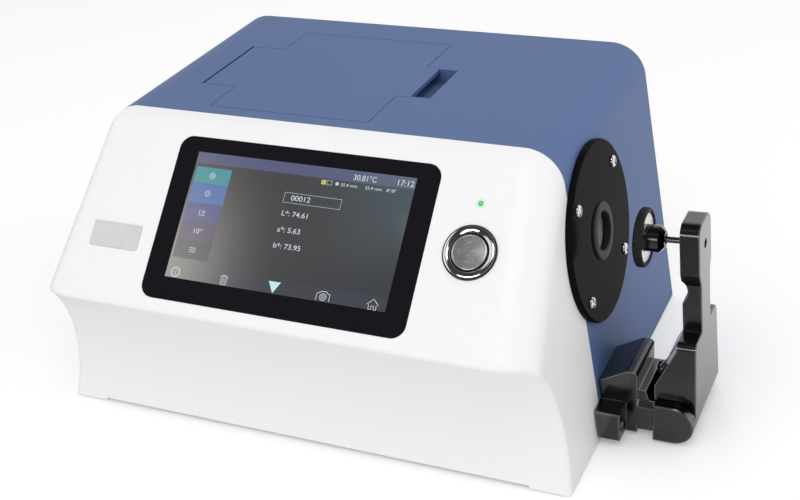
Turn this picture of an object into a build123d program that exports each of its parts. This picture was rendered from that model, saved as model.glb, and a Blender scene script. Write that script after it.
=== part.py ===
from build123d import *
from math import asin, atan2, cos, degrees, hypot, pi, radians, sin, sqrt, tan
import os

os.makedirs("parts", exist_ok=True)

# Benchtop spectrophotometer, millimetres. X is to the operator's right, Y to the back, Z up.
# The origin is on the table, below the middle of the space that the instrument takes up.
# Distances across the body are measured from the body's own middle plane.

# Housing: a drafted body with a sloped control face, and a concave cove below its nose
body_w = 370.0
body_d = 288.0
body_h = 200.0
side_draft = 7.3
slope_angle = 45.4
nose_h = 106.3
nose_tip = 3.0
throat_depth = 38.0
throat_h = 33.0
cove_r = 102.0
cove_join_h = 95.0
edge_r = 25.0
rim_r = 4.0
back_edge_r = 2.0
wall = 3.0
seam_gap = 0.5
front_lift = 0.8
top_lift = 1.7
pad_w = 27.0
pad_step = 1.7
lip_t = 1.2
lip_front = 8.0
lip_reach = 5.0
fit_gap = 0.15

# Base plate, feet, posts and rear panel
foot_h = 5.0
foot_r = 12.0
foot_x = 135.0
foot_front = -80.0
foot_back = 104.0
foot_bore_r = 4.5
foot_bore_h = 2.8
foot_taper = 8.0
foot_shank_r = 2.0
foot_shank_over = 2.0
foot_head_gap = 0.7
foot_head_t = 1.6
base_t = 2.5
plate_gap = 0.4
post_side = 22.0
post_r = 5.0
post_h = 30.0
post_inset = 18.0
rear_post_inset = 30.0
post_hole = 22.0
rib_t = 3.0
rib_l = 30.0
panel_t = 2.0
panel_recess = 2.0
panel_lift = 0.5
flange_w = 8.0
flange_t = 3.0
vent_l = 34.0
vent_w = 2.6
vent_pitch = 7.0
vent_x = 105.0
vent_h = 110.0
vent_rows = 2
vent_columns = 12
panel_screw_low = 24.0
panel_screw_high = 150.0

# Screws: a head and a shank, with a hole that clears the shank
shank_r = 1.5
shank_gap = 0.05
head_r = 3.0
head_t = 2.0

# Control face, with places measured from the middle of the visible screen
screen_drop = 64.6
glass_w = 184.5
glass_h = 109.8
glass_r = 9.0
glass_t = 1.8
glass_proud = 0.2
glass_low = 2.35
window_w = 167.0
window_h = 102.0
module_w = 165.0
module_h = 100.0
module_t = 5.0
driver_w = 120.0
driver_h = 60.0
driver_t = 3.0
button_x = 121.0
button_up = 1.0
bezel_r = 16.25
bezel_proud = 2.2
bezel_bevel = 0.9
bezel_body_r = 13.6
bezel_body_l = 16.0
cap_r = 11.0
cap_gap = 0.3
cap_proud = 0.3
cap_t = 3.0
cap_edge_r = 0.4
stem_r = 5.0
stem_l = 10.0
press = 1.2
nut_across = 34.0
nut_t = 4.0
led_x = 120.8
led_up = 31.8
led_r = 1.5
led_dome = 0.6
led_flange = 0.7
name_x = -121.75
name_up = -20.9
name_w = 37.0
name_h = 17.0
name_t = 1.0
name_sunk = 0.6
name_corner = 1.5

# Lid in the top, its recess, and the compartment below it
lid_t = 3.0
lid_gap = 0.5
lid_mid_x = -30.65
lid_mid_y = 41.5
lid_w = 116.3
lid_l = 142.0
left_tab_w = 27.2
left_tab_l = 72.0
right_tab_w = 10.0
right_tab_l = 52.0
slot_w = 13.5
slot_l = 49.0
tray_h = 10.0
tray_floor_t = 2.0
tray_wall = 2.0
skirt_h = 5.0
skirt_t = 2.0
skirt_out = 2.5
barrel_r = 3.0
tab_round = 2.4
lid_pin_r = 1.2
pin_gap = 0.05
lid_boss_r = 4.0
lid_boss_l = 6.0
chamber_w = 103.0
chamber_l = 127.0
chamber_floor = 90.0
chamber_wall = 2.0
tub_flange = 4.0
seal_t = 1.7
seal_w = 3.0
window_r = 12.0

# Measuring port on the right side
port_y = 0.0
port_h = 127.0
port_r = 59.0
port_t = 4.0
port_edge_r = 1.5
port_hub_r = 45.0
port_hub_l = 6.0
port_hub_gap = 1.0
port_screw_y = 37.0
port_screw_up = 32.0
port_screw_r = 4.0
port_screw_t = 2.2
port_boss_r = 3.6
port_boss_l = 6.0
aperture_r = 12.7
insert_r = 19.0
insert_t = 3.0
insert_proud = 1.5
insert_bevel = 0.8
web_bore_r = 13.5

# Optics inside
sphere_r = 50.0
sphere_wall = 2.5
sphere_back = 57.4
sphere_flange_r = 54.0
sphere_flange_t = 2.0
port_neck_r = 20.0
neck_wall = 3.0
sample_neck_r = 14.0
lamp_neck_r = 9.0
bench_h = 60.0
bench_t = 4.0
bench_w = 290.0
bench_front = -52.0
bench_back = 122.0
bench_post_x = 138.0
bench_post_in = 7.0
stand_w = 40.0
stand_y = 20.0
stand_block = 20.0
stand_h = 16.0
stand_foot_t = 1.5
tube_r = 15.0
tube_bore_r = 12.5
tube_l = 48.0
tube_gap = 0.3
lens_t = 6.0
mount_t = 12.0
mount_r = 19.0
lamp_w = 42.0
lamp_l = 40.0
lamp_y = 57.0
lamp_top = 152.0
fin_pitch = 6.0
fin_depth = 6.0
box_w = 120.0
box_l = 40.0
box_h = 37.0
box_x = -10.0
box_y = -78.0

# Circuit boards
board_h = 18.0
board_t = 1.6
chip_w = 14.0
chip_t = 2.5
board_w = 110.0
board_x = -70.0
main_l = 85.0
main_y = 2.5
power_l = 50.0
power_y = 82.0
standoff_r = 3.0
standoff_in = 5.0

# Connectors in the rear panel, with places measured from the middle plane
connector_h = 38.0
inlet_x = -140.0
inlet_r = 5.5
inlet_l = 12.0
inlet_rim = 1.2
inlet_bore_r = 3.2
inlet_pin_r = 1.0
switch_x = -115.0
usb_x = -85.0
usb_w = 12.2
usb_h = 11.0
usb_l = 16.0
usb_shell = 1.2
usb_collar = 2.0
serial_x = -45.0
serial_w = 31.0
serial_h = 12.5
serial_l = 8.0
serial_flange_t = 1.0
serial_pitch = 25.0
serial_pin_pitch = 2.8
serial_pin_r = 0.5
shell_w = 17.0
shell_h = 8.4
rocker_w = 10.6
rocker_half = 7.8
rocker_in = 4.6
rocker_tilt = 7.0
rocker_gap = 0.3
rocker_swing = 1.0
rocker_high = 5.5
rocker_low = 3.6
axle_r = 1.5
axle_l = 0.9
frame_w = 15.0
frame_l = 21.0
frame_proud = 1.5
frame_rim = 1.1
frame_depth = 16.0

# Sample holder on the right side: bracket, arm on a cross pin, and a ball-jointed pad
pivot_gap = 45.0
pivot_h = 15.0
ear_r = 13.4
ear_t = 7.5
ear_gap = 0.5
ear_back = 12.8
arm_lean = 2.4
arm_h = 130.0
arm_bevel = 0.6
arm_t = 12.5
arm_base_w = 64.6
arm_head_w = 30.4
arm_neck_w = 22.6
arm_shoulder_w = 57.0
head_corner_r = 8.5
head_low = 97.0
neck_high = 88.0
shoulder_h = 54.5
shoulder_r = 5.0
neck_r = 4.0
flare_high = 49.0
flare_low = 23.0
grip_r = 12.0
grip_depth = 3.5
grip_h = 83.0
rod_up = 113.0
rod_r = 2.0
rod_gap = 0.1
rod_screw_r = 3.2
rod_screw_in = 6.0
rod_screw_l = 5.0
ball_out = 15.5
ball_r = 4.4
ball_gap = 0.3
mouth_r = 3.3
hub_start = 11.4
hub_nut = 13.4
hub_neck = 17.4
hub_end = 23.4
hub_r = 8.0
hub_across = 16.4
pad_back = 22.4
pad_r = 19.2
pad_t = 6.0
pad_web = 2.0
disc_r = 16.0
disc_gap = 0.3
disc_t = 3.0
holder_pin_r = 3.0
pin_cover = 2.0
seat_gap = 0.2
block_in = 24.0
block_h = 48.5
block_back = 6.0
block_top_w = 7.0
block_side_h = 38.0
block_corner_r = 3.0
shelf_in = 15.2
shelf_h = 33.5
shelf_bevel_h = 19.0
shelf_bevel = 4.0
bracket_low = 3.0
ear_bevel = 0.6
link_inset = 3.5
link_low = 4.5
link_high = 26.5
link_bevel = 3.5
link_low_bevel = 2.5
link_low_bevel_h = 6.0
foot_out = 14.0
foot_reach = 53.0
foot_low = 5.0
foot_high = 25.0
rail_h = 10.5
rear_ear_r = 10.5
rear_foot_out = 7.0
rear_foot_y = 20.0
rear_foot_high = 22.0
front_screw_y = 48.0
rear_screw_y = 30.0
holder_screw_r = 2.0
holder_screw_l = 25.0
holder_boss_r = 5.0
holder_boss_l = 16.0

# Holder spring: where its two cross pins are, from the arm's pivot, and its coils
anchor_in = 20.0
anchor_up = 11.0
hook_in = 4.5
hook_up = 32.0
cross_pin_r = 1.6
cross_pin_l = 11.0
slot_half = 3.75
spring_r = 2.6
wire_r = 0.45
spring_turns = 10
spring_pitch = 1.5
bend_r = 1.6
wire_gap = 0.3
hook_clear = 4.5
spring_slot_in = 9.0
spring_slot_low = 6.0


# Places worked out from the sizes above
def half_width(z):
    """Half of the body's width at a height."""
    return body_w / 2 - z * tan(radians(side_draft))


nose_y = -body_d / 2 - nose_tip
nose_z = nose_h - nose_tip * tan(radians(slope_angle))
rear_y = body_d / 2
pivot_out = body_w / 2 + pivot_gap
body_x = (body_w / 2 - pivot_out - ear_r) / 2
base_top = foot_h + base_t
panel_y = rear_y - panel_recess - panel_t
slope_out = (0, -sin(radians(slope_angle)), cos(radians(slope_angle)))
slope_up = Vector(0, cos(radians(slope_angle)), sin(radians(slope_angle)))
brow_y = nose_y + (body_h - nose_z) / tan(radians(slope_angle))
seam_y = brow_y + edge_r * tan(radians(slope_angle / 2))

# The cove is two arcs: a large one below, and a small one that runs out level at the nose.
throat_y = -body_d / 2 + throat_depth
cove_y = throat_y - cove_r
join_angle = degrees(asin((cove_join_h - throat_h) / cove_r))
join_y = cove_y + cove_r * cos(radians(join_angle))
chord_y = nose_y - join_y
chord_z = nose_z - cove_join_h
chord_off = -sin(radians(join_angle)) * chord_z - cos(radians(join_angle)) * chord_y
lip_arc_r = (chord_y**2 + chord_z**2) / (2 * chord_off)
lip_arc_y = join_y - lip_arc_r * cos(radians(join_angle))
lip_arc_z = cove_join_h - lip_arc_r * sin(radians(join_angle))

post_x = body_w / 2 - post_side
front_post_y = throat_y + post_inset
rear_post_y = rear_y - rear_post_inset
post_front_y = bench_front + bench_post_in
post_back_y = bench_back - bench_post_in
opening_w = chamber_w - 2 * chamber_wall
opening_l = chamber_l - 2 * chamber_wall
tub_top = body_h - tray_h - tray_floor_t
tub_left = lid_mid_x - chamber_w / 2
tub_right = lid_mid_x + chamber_w / 2
bench_top = bench_h + bench_t
hinge_x = lid_mid_x - lid_w / 2 - left_tab_w + barrel_r
lens_x = tub_left - tube_gap - tube_r
serial_posts_at = [(-serial_x - serial_pitch / 2, connector_h), (-serial_x + serial_pitch / 2, connector_h)]

# Planes that the pieces are drawn on. FLOOR and MID have the body's middle as their centre.
FLOOR = Plane((body_x, 0, 0))
MID = Plane.YZ.offset(body_x)
SLOPE = Plane((body_x, nose_y, nose_z), x_dir=(1, 0, 0), z_dir=slope_out)
SCREEN = Plane(Vector(body_x, brow_y, body_h) - slope_up * screen_drop, x_dir=(1, 0, 0), z_dir=slope_out)
BUTTON = Plane(SCREEN.from_local_coords((button_x, button_up, 0)), x_dir=(1, 0, 0), z_dir=slope_out)
LED = Plane(SCREEN.from_local_coords((led_x, led_up, 0)), x_dir=(1, 0, 0), z_dir=slope_out)
SEAM = Plane((body_x, seam_y, 0), x_dir=(1, 0, 0), z_dir=(0, -1, 0))
REAR = Plane((body_x, panel_y + panel_t, 0), x_dir=(-1, 0, 0), z_dir=(0, 1, 0))

HINGE = Plane(
    FLOOR.from_local_coords((hinge_x, lid_mid_y, body_h - lid_t)), x_dir=(1, 0, 0), z_dir=(0, -1, 0)
)
ROCKER = Plane(
    REAR.from_local_coords((-switch_x, connector_h, -rocker_in)),
    x_dir=(0, cos(radians(rocker_tilt)), sin(radians(rocker_tilt))),
    z_dir=(1, 0, 0),
)

wall_out = Vector(cos(radians(side_draft)), 0, sin(radians(side_draft)))
PORT = Plane((body_x + half_width(port_h), port_y, port_h), x_dir=(0, 1, 0), z_dir=wall_out)
sphere_mid = PORT.origin - wall_out * sphere_back
BEAM = Plane((body_x, port_y, sphere_mid.Z), x_dir=(0, 1, 0), z_dir=(1, 0, 0))

pivot = Vector(body_x + pivot_out, port_y, pivot_h)
arm_out = Vector(cos(radians(arm_lean)), 0, sin(radians(arm_lean)))
PIVOT = Plane(pivot, x_dir=(1, 0, 0), z_dir=(0, -1, 0))
ARM_SIDE = Plane(pivot, x_dir=arm_out, z_dir=(0, -1, 0))
ARM_FACE = Plane(pivot, x_dir=(0, 1, 0), z_dir=arm_out)
LINK = Plane(pivot, x_dir=(0, -1, 0), z_dir=(-1, 0, 0))
ear_in = arm_base_w / 2 + ear_gap
block_y = ear_in + ear_t - link_inset
anchor = pivot + Vector(-anchor_in, 0, anchor_up)
hook = pivot + Vector(-hook_in, 0, hook_up)

port_screws_at = [
    (y, up) for y in (-port_screw_y, port_screw_y) for up in (-port_screw_up, port_screw_up)
]
feet_at = [(x, y) for x in (-foot_x, foot_x) for y in (foot_front, foot_back)]
front_posts_at = [(-post_x, front_post_y), (post_x, front_post_y)]
rear_posts_at = [(-post_x, rear_post_y), (post_x, rear_post_y)]
panel_screws_at = [
    (side * (half_width(z) - wall - flange_w / 2), z)
    for side in (-1, 1)
    for z in (panel_screw_low, panel_screw_high)
]
bench_posts_at = [(x, y) for x in (-bench_post_x, 0, bench_post_x) for y in (post_front_y, post_back_y)]


def body_form(inset, rear, floor, rim=False):
    """The housing's form as one solid, drawn in by inset, from the floor height to the rear plane."""
    draft_inset = inset / cos(radians(side_draft))
    arc_r = cove_r + inset
    floor_angle = degrees(asin((floor - throat_h) / arc_r))
    high = body_h - inset
    low_half = half_width(floor) - draft_inset
    high_half = half_width(high) - draft_inset
    with BuildPart() as form:
        with BuildSketch(Plane((body_x, rear, 0), x_dir=(1, 0, 0), z_dir=(0, -1, 0))):
            Polygon((-low_half, floor), (low_half, floor), (high_half, high), (-high_half, high))
        extrude(amount=rear - nose_y + edge_r)
        with BuildSketch(MID):
            with BuildLine():
                cove = CenterArc((cove_y, throat_h), arc_r, floor_angle, join_angle - floor_angle)
                lip = CenterArc((lip_arc_y, lip_arc_z), lip_arc_r + inset, join_angle, 120 - join_angle)
                Polyline(lip @ 1, ((lip @ 1).X, body_h), (rear, body_h), (rear, floor), cove @ 0)
            make_face()
        extrude(amount=body_w, both=True, mode=Mode.INTERSECT)
        split(bisect_by=SLOPE.offset(-inset), keep=Keep.BOTTOM)
        slope_face = form.faces().filter_by(SLOPE)[0]
        top_face = form.faces().filter_by(Plane.XY).sort_by(Axis.Z)[-1]
        brow = slope_face.edges().filter_by(Axis.X).sort_by(Axis.Z)[-1]
        rails = slope_face.edges().filter_by(Axis.X, reverse=True) + top_face.edges().filter_by(Axis.Y)
        fillet(rails + [brow], edge_r - inset)
        if rim:
            coves = form.faces().filter_by(GeomType.CYLINDER).filter_by_position(Axis.Z, 0, nose_z)
            nose = coves.edges().filter_by(Axis.X).sort_by(Axis.Z)[-1]
            fillet(coves.edges().filter_by(Axis.X, reverse=True) + [nose], rim_r)
    return form.part


def seat_x(z):
    """Where the side wall's outer face is, from the arm's pivot, at a height, with the seat gap."""
    return half_width(z) + seat_gap - pivot_out


def lid_plan(grow, slot=False):
    """The lid's plan, a rectangle with a tab at each side, grown by a gap, with its finger slot or not."""
    left = lid_mid_x - lid_w / 2
    right = lid_mid_x + lid_w / 2
    tip = right + right_tab_w
    with BuildSketch() as plan:
        with Locations((lid_mid_x, lid_mid_y)):
            Rectangle(lid_w + 2 * grow, lid_l + 2 * grow)
        with Locations((left, lid_mid_y)):
            Rectangle(left_tab_w + grow, left_tab_l + 2 * grow, align=(Align.MAX, Align.CENTER))
        with Locations((right, lid_mid_y)):
            Rectangle(right_tab_w + grow, right_tab_l + 2 * grow, align=(Align.MIN, Align.CENTER))
        if slot:
            with Locations((tip, lid_mid_y)):
                Rectangle(slot_w + grow, slot_l + 2 * grow, align=(Align.MIN, Align.CENTER))
    return plan.sketch


outer_form = body_form(0, rear_y, front_lift, rim=True)
inner_form = body_form(wall, rear_y + 1, 0)
root_form = body_form(wall - fit_gap, rear_y, 0)
lip_outer_form = body_form(wall + fit_gap, rear_y, 0)
lip_inner_form = body_form(wall + fit_gap + lip_t, rear_y + 1, 0)
plate_form = body_form(wall + plate_gap, rear_y - panel_recess, 0)
flange_form = body_form(wall + flange_w, rear_y + 1, 0)
cover_plan = lid_plan(0)
tray_plan = lid_plan(lid_gap, slot=True)
tray_wall_plan = lid_plan(lid_gap + tray_wall, slot=True)
hole_r = shank_r + shank_gap

# Lip inside the front cover's seam, rooted on its wall and reaching under the top cover
with BuildPart() as lip_root:
    add(root_form)
    add(lip_inner_form, mode=Mode.SUBTRACT)
    split(bisect_by=SEAM.offset(seam_gap / 2), keep=Keep.TOP)
    split(bisect_by=SEAM.offset(lip_front), keep=Keep.BOTTOM)

with BuildPart() as seam_lip:
    add(lip_outer_form)
    add(lip_inner_form, mode=Mode.SUBTRACT)
    split(bisect_by=SEAM.offset(-lip_reach), keep=Keep.TOP)
    split(bisect_by=SEAM.offset(lip_front), keep=Keep.BOTTOM)
    add(lip_root.part)
    split(bisect_by=FLOOR.offset(base_top + panel_lift), keep=Keep.TOP)
    with BuildSketch(PORT):
        Circle(port_r - port_edge_r)
    extrude(amount=-port_r, mode=Mode.SUBTRACT)

# Front cover: white moulding with the control face, its posts, and the lip at its seam
with BuildPart() as front_cover:
    add(outer_form)
    add(inner_form, mode=Mode.SUBTRACT)
    split(bisect_by=SEAM.offset(seam_gap / 2), keep=Keep.TOP)
    with BuildSketch(FLOOR.offset(base_top)):
        with Locations(front_posts_at):
            Circle(post_r)
        with Locations((-post_x - rib_l / 2, front_post_y), (post_x + rib_l / 2, front_post_y)):
            Rectangle(rib_l, rib_t)
    extrude(amount=post_h)
    with BuildSketch(MID.offset(body_w / 2)):
        with Locations((-front_screw_y, pivot_h)):
            Circle(holder_boss_r)
    extrude(amount=-holder_boss_l)
    add(outer_form, mode=Mode.INTERSECT)
    add(seam_lip.part)
    with BuildSketch(FLOOR.offset(front_lift)):
        with Locations((0, nose_y)):
            Rectangle(body_w - 2 * pad_w, body_d, align=(Align.CENTER, Align.MIN))
    extrude(amount=pad_step, mode=Mode.SUBTRACT)
    with BuildSketch(SCREEN):
        with Locations((0, -glass_low)):
            RectangleRounded(glass_w + 2 * fit_gap, glass_h + 2 * fit_gap, glass_r + fit_gap)
    extrude(amount=glass_proud - glass_t, mode=Mode.SUBTRACT)
    with BuildSketch(SCREEN):
        with Locations((0, -glass_low)):
            Rectangle(window_w, window_h)
        with Locations((button_x, button_up)):
            Circle(bezel_body_r + fit_gap)
        with Locations((led_x, led_up)):
            Circle(led_r + fit_gap)
    extrude(amount=-2 * wall, mode=Mode.SUBTRACT)
    with BuildSketch(SCREEN):
        with Locations((name_x, name_up)):
            RectangleRounded(name_w + 2 * fit_gap, name_h + 2 * fit_gap, name_corner + fit_gap)
    extrude(amount=-name_sunk, mode=Mode.SUBTRACT)
    with BuildSketch(FLOOR.offset(base_top)):
        with Locations(front_posts_at):
            Circle(hole_r)
    extrude(amount=post_hole, mode=Mode.SUBTRACT)
    with BuildSketch(PORT):
        Circle(port_hub_r + port_hub_gap)
    extrude(amount=-port_r, mode=Mode.SUBTRACT)
    with BuildSketch(MID.offset(body_w / 2)):
        with Locations((-front_screw_y, pivot_h)):
            Circle(holder_screw_r + shank_gap)
    extrude(amount=-holder_boss_l - wall, mode=Mode.SUBTRACT)
front_cover.part.label = "front_cover"
export_step(front_cover.part, "parts/front_cover.step")

# Flange inside the top cover's back edge, that the rear panel is screwed to
with BuildPart() as rear_flange:
    add(root_form)
    add(flange_form, mode=Mode.SUBTRACT)
    split(bisect_by=REAR.offset(-panel_t), keep=Keep.BOTTOM)
    split(bisect_by=REAR.offset(-panel_t - flange_t), keep=Keep.TOP)
    split(bisect_by=FLOOR.offset(base_top + panel_lift), keep=Keep.TOP)

# Top cover: blue moulding over the top, the sides and the back edge, with the lid's tray in it
with BuildPart() as top_cover:
    add(outer_form)
    split(bisect_by=SEAM.offset(-seam_gap / 2), keep=Keep.BOTTOM)
    split(bisect_by=FLOOR.offset(top_lift), keep=Keep.TOP)
    back_face = top_cover.faces().sort_by(Axis.Y)[-1]
    fillet(back_face.edges().sort_by(Axis.Z)[1:], back_edge_r)
    add(inner_form, mode=Mode.SUBTRACT)
    add(rear_flange.part)
    with BuildSketch(FLOOR.offset(body_h - wall / 2)):
        add(tray_wall_plan)
    extrude(amount=wall / 2 - tray_h - tray_floor_t)
    with BuildSketch(HINGE):
        Circle(lid_boss_r)
    extrude(amount=left_tab_l / 2 + lid_gap + lid_boss_l, both=True)
    with BuildSketch(FLOOR.offset(base_top)):
        with Locations(rear_posts_at):
            Circle(post_r)
        with Locations((-post_x - rib_l / 2, rear_post_y), (post_x + rib_l / 2, rear_post_y)):
            Rectangle(rib_l, rib_t)
    extrude(amount=post_h)
    with BuildSketch(MID.offset(body_w / 2)):
        with Locations((rear_screw_y, pivot_h)):
            Circle(holder_boss_r)
    extrude(amount=-holder_boss_l)
    with BuildSketch(PORT.offset(-wall / 2)):
        with Locations(port_screws_at):
            Circle(port_boss_r)
    extrude(amount=-port_boss_l)
    add(outer_form, mode=Mode.INTERSECT)
    with BuildSketch(FLOOR.offset(body_h)):
        add(tray_plan)
    extrude(amount=-tray_h, mode=Mode.SUBTRACT)
    with BuildSketch(FLOOR.offset(body_h)):
        with Locations((lid_mid_x, lid_mid_y)):
            RectangleRounded(opening_w, opening_l, chamber_wall)
    extrude(amount=-2 * tray_h, mode=Mode.SUBTRACT)
    with BuildSketch(HINGE):
        Circle(lid_pin_r + pin_gap)
    extrude(amount=left_tab_l / 2 + lid_gap + lid_boss_l - 1, both=True, mode=Mode.SUBTRACT)
    with BuildSketch(FLOOR.offset(base_top)):
        with Locations(rear_posts_at):
            Circle(hole_r)
    extrude(amount=post_hole, mode=Mode.SUBTRACT)
    with BuildSketch(PORT):
        Circle(port_hub_r + port_hub_gap)
        with Locations(port_screws_at):
            Circle(hole_r)
    extrude(amount=-port_r / 2, mode=Mode.SUBTRACT)
    with BuildSketch(MID.offset(body_w / 2)):
        with Locations((rear_screw_y, pivot_h)):
            Circle(holder_screw_r + shank_gap)
    extrude(amount=-holder_boss_l - wall, mode=Mode.SUBTRACT)
    with BuildSketch(REAR):
        with Locations(panel_screws_at):
            Circle(hole_r)
    extrude(amount=-panel_t - 2 * flange_t, mode=Mode.SUBTRACT)
top_cover.part.label = "top_cover"
export_step(top_cover.part, "parts/top_cover.step")

# Lid: a plate with a hinge barrel along its left tab, and a skirt that comes down on the seal
with BuildPart() as transmission_lid:
    with BuildSketch(FLOOR.offset(body_h)):
        add(cover_plan)
    extrude(amount=-lid_t)
    top_edges = transmission_lid.edges().filter_by(Axis.Y).group_by(Axis.Z)[-1]
    fillet(top_edges.sort_by(Axis.X)[0], tab_round)
    with BuildSketch(HINGE):
        Circle(barrel_r)
    extrude(amount=left_tab_l / 2, both=True)
    with BuildSketch(FLOOR.offset(body_h - lid_t)):
        with Locations((lid_mid_x, lid_mid_y)):
            Rectangle(opening_w + 2 * skirt_out + skirt_t, opening_l + 2 * skirt_out + skirt_t)
            Rectangle(
                opening_w + 2 * skirt_out - skirt_t,
                opening_l + 2 * skirt_out - skirt_t,
                mode=Mode.SUBTRACT,
            )
    extrude(amount=-skirt_h)
    with BuildSketch(HINGE):
        Circle(lid_pin_r + pin_gap)
    extrude(amount=left_tab_l, both=True, mode=Mode.SUBTRACT)
transmission_lid.part.label = "transmission_lid"
export_step(transmission_lid.part, "parts/transmission_lid.step")

# Hinge pin of the lid, held in a boss at each end of the tab's recess
with BuildPart() as lid_pin:
    with BuildSketch(HINGE):
        Circle(lid_pin_r)
    extrude(amount=left_tab_l / 2 + lid_gap + lid_boss_l - 2, both=True)
lid_pin.part.label = "lid_pin"
export_step(lid_pin.part, "parts/lid_pin.step")

# Compartment below the lid: a black tub, hung from the tray's floor, with a window in each side
with BuildPart() as chamber_tub:
    with BuildSketch(FLOOR.offset(tub_top)):
        with Locations((lid_mid_x, lid_mid_y)):
            RectangleRounded(chamber_w, chamber_l, 2 * chamber_wall)
    extrude(amount=chamber_floor - tub_top)
    with BuildSketch(FLOOR.offset(tub_top)):
        with Locations((lid_mid_x, lid_mid_y)):
            RectangleRounded(chamber_w + 2 * tub_flange, chamber_l + 2 * tub_flange, 2 * chamber_wall)
    extrude(amount=-chamber_wall)
    with BuildSketch(FLOOR.offset(tub_top)):
        with Locations((lid_mid_x, lid_mid_y)):
            RectangleRounded(opening_w, opening_l, chamber_wall)
    extrude(amount=chamber_floor + chamber_wall - tub_top, mode=Mode.SUBTRACT)
    with BuildSketch(BEAM):
        Circle(window_r + shank_gap)
    extrude(amount=body_w / 2, both=True, mode=Mode.SUBTRACT)
chamber_tub.part.label = "chamber_tub"
export_step(chamber_tub.part, "parts/chamber_tub.step")

with BuildPart() as chamber_windows:
    with BuildSketch(BEAM.offset(tub_left)):
        Circle(window_r)
    extrude(amount=chamber_wall)
    with BuildSketch(BEAM.offset(tub_right - chamber_wall)):
        Circle(window_r)
    extrude(amount=chamber_wall)
chamber_windows.part.label = "chamber_windows"
export_step(chamber_windows.part, "parts/chamber_windows.step")

# Foam seal on the tray's floor, around the compartment's mouth
with BuildPart() as chamber_seal:
    with BuildSketch(FLOOR.offset(body_h - tray_h)):
        with Locations((lid_mid_x, lid_mid_y)):
            Rectangle(opening_w + 2 * skirt_out + seal_w, opening_l + 2 * skirt_out + seal_w)
            Rectangle(
                opening_w + 2 * skirt_out - seal_w,
                opening_l + 2 * skirt_out - seal_w,
                mode=Mode.SUBTRACT,
            )
    extrude(amount=seal_t)
chamber_seal.part.label = "chamber_seal"
export_step(chamber_seal.part, "parts/chamber_seal.step")

# Touch screen: cover glass in its pocket, and the panel bonded behind it
with BuildPart() as display_glass:
    with BuildSketch(SCREEN.offset(glass_proud)):
        with Locations((0, -glass_low)):
            RectangleRounded(glass_w, glass_h, glass_r)
    extrude(amount=-glass_t)
display_glass.part.label = "display_glass"
export_step(display_glass.part, "parts/display_glass.step")

with BuildPart() as display_module:
    with BuildSketch(SCREEN.offset(glass_proud - glass_t)):
        with Locations((0, -glass_low)):
            Rectangle(module_w, module_h)
    extrude(amount=-module_t)
    with BuildSketch(SCREEN.offset(glass_proud - glass_t - module_t)):
        with Locations((0, -glass_low)):
            Rectangle(driver_w, driver_h)
    extrude(amount=-driver_t)
display_module.part.label = "display_module"
export_step(display_module.part, "parts/display_module.step")

# Push button: a bezel through the face with a nut behind it, and a cap that slides in it
with BuildPart() as button_bezel:
    with BuildSketch(BUTTON):
        Circle(bezel_r)
    extrude(amount=bezel_proud)
    chamfer(button_bezel.faces().sort_by(Axis(BUTTON.origin, BUTTON.z_dir))[-1].edges(), bezel_bevel)
    with BuildSketch(BUTTON):
        Circle(bezel_body_r)
    extrude(amount=-bezel_body_l)
    with BuildSketch(BUTTON.offset(bezel_proud)):
        Circle(cap_r + cap_gap)
    extrude(amount=cap_proud - cap_t - press - cap_gap, mode=Mode.SUBTRACT)
    with BuildSketch(BUTTON):
        Circle(stem_r + pin_gap)
    extrude(amount=1 - bezel_body_l, mode=Mode.SUBTRACT)
button_bezel.part.label = "button_bezel"
export_step(button_bezel.part, "parts/button_bezel.step")

with BuildPart() as button_cap:
    with BuildSketch(BUTTON.offset(bezel_proud + cap_proud)):
        Circle(cap_r)
    extrude(amount=-cap_t)
    fillet(button_cap.edges().group_by(Axis(BUTTON.origin, BUTTON.z_dir))[-1], cap_edge_r)
    with BuildSketch(BUTTON.offset(bezel_proud + cap_proud - cap_t)):
        Circle(stem_r)
    extrude(amount=-stem_l)
button_cap.part.label = "button_cap"
export_step(button_cap.part, "parts/button_cap.step")

with BuildPart() as button_nut:
    with BuildSketch(BUTTON.offset(-wall)):
        RegularPolygon(nut_across / 2, 6, major_radius=False)
        Circle(bezel_body_r + shank_gap, mode=Mode.SUBTRACT)
    extrude(amount=-nut_t)
button_nut.part.label = "button_nut"
export_step(button_nut.part, "parts/button_nut.step")

# Status light: a small domed LED pushed through the face from behind
with BuildPart() as status_led:
    with BuildSketch(LED.offset(-wall)):
        Circle(led_r)
    extrude(amount=wall + led_dome - led_r)
    with Locations(LED.offset(led_dome - led_r)):
        Sphere(led_r)
    with BuildSketch(LED.offset(-wall)):
        Circle(led_r + led_flange)
    extrude(amount=-led_r)
status_led.part.label = "status_led"
export_step(status_led.part, "parts/status_led.step")

# Name plate: a bare metal plate in a shallow recess at the left of the screen
with BuildPart() as name_plate:
    with BuildSketch(SCREEN.offset(-name_sunk)):
        with Locations((name_x, name_up)):
            RectangleRounded(name_w, name_h, name_corner)
    extrude(amount=name_t)
name_plate.part.label = "name_plate"
export_step(name_plate.part, "parts/name_plate.step")

# Base plate: sheet steel inside the covers' lower edges, that everything stands on
with BuildPart() as base_plate:
    add(plate_form)
    split(bisect_by=FLOOR.offset(foot_h), keep=Keep.TOP)
    split(bisect_by=FLOOR.offset(base_top), keep=Keep.BOTTOM)
    with BuildSketch(FLOOR.offset(foot_h)):
        with Locations(front_posts_at + rear_posts_at):
            Circle(hole_r)
        with Locations(feet_at):
            Circle(foot_shank_r + shank_gap)
    extrude(amount=base_t, mode=Mode.SUBTRACT)
base_plate.part.label = "base_plate"
export_step(base_plate.part, "parts/base_plate.step")

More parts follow.
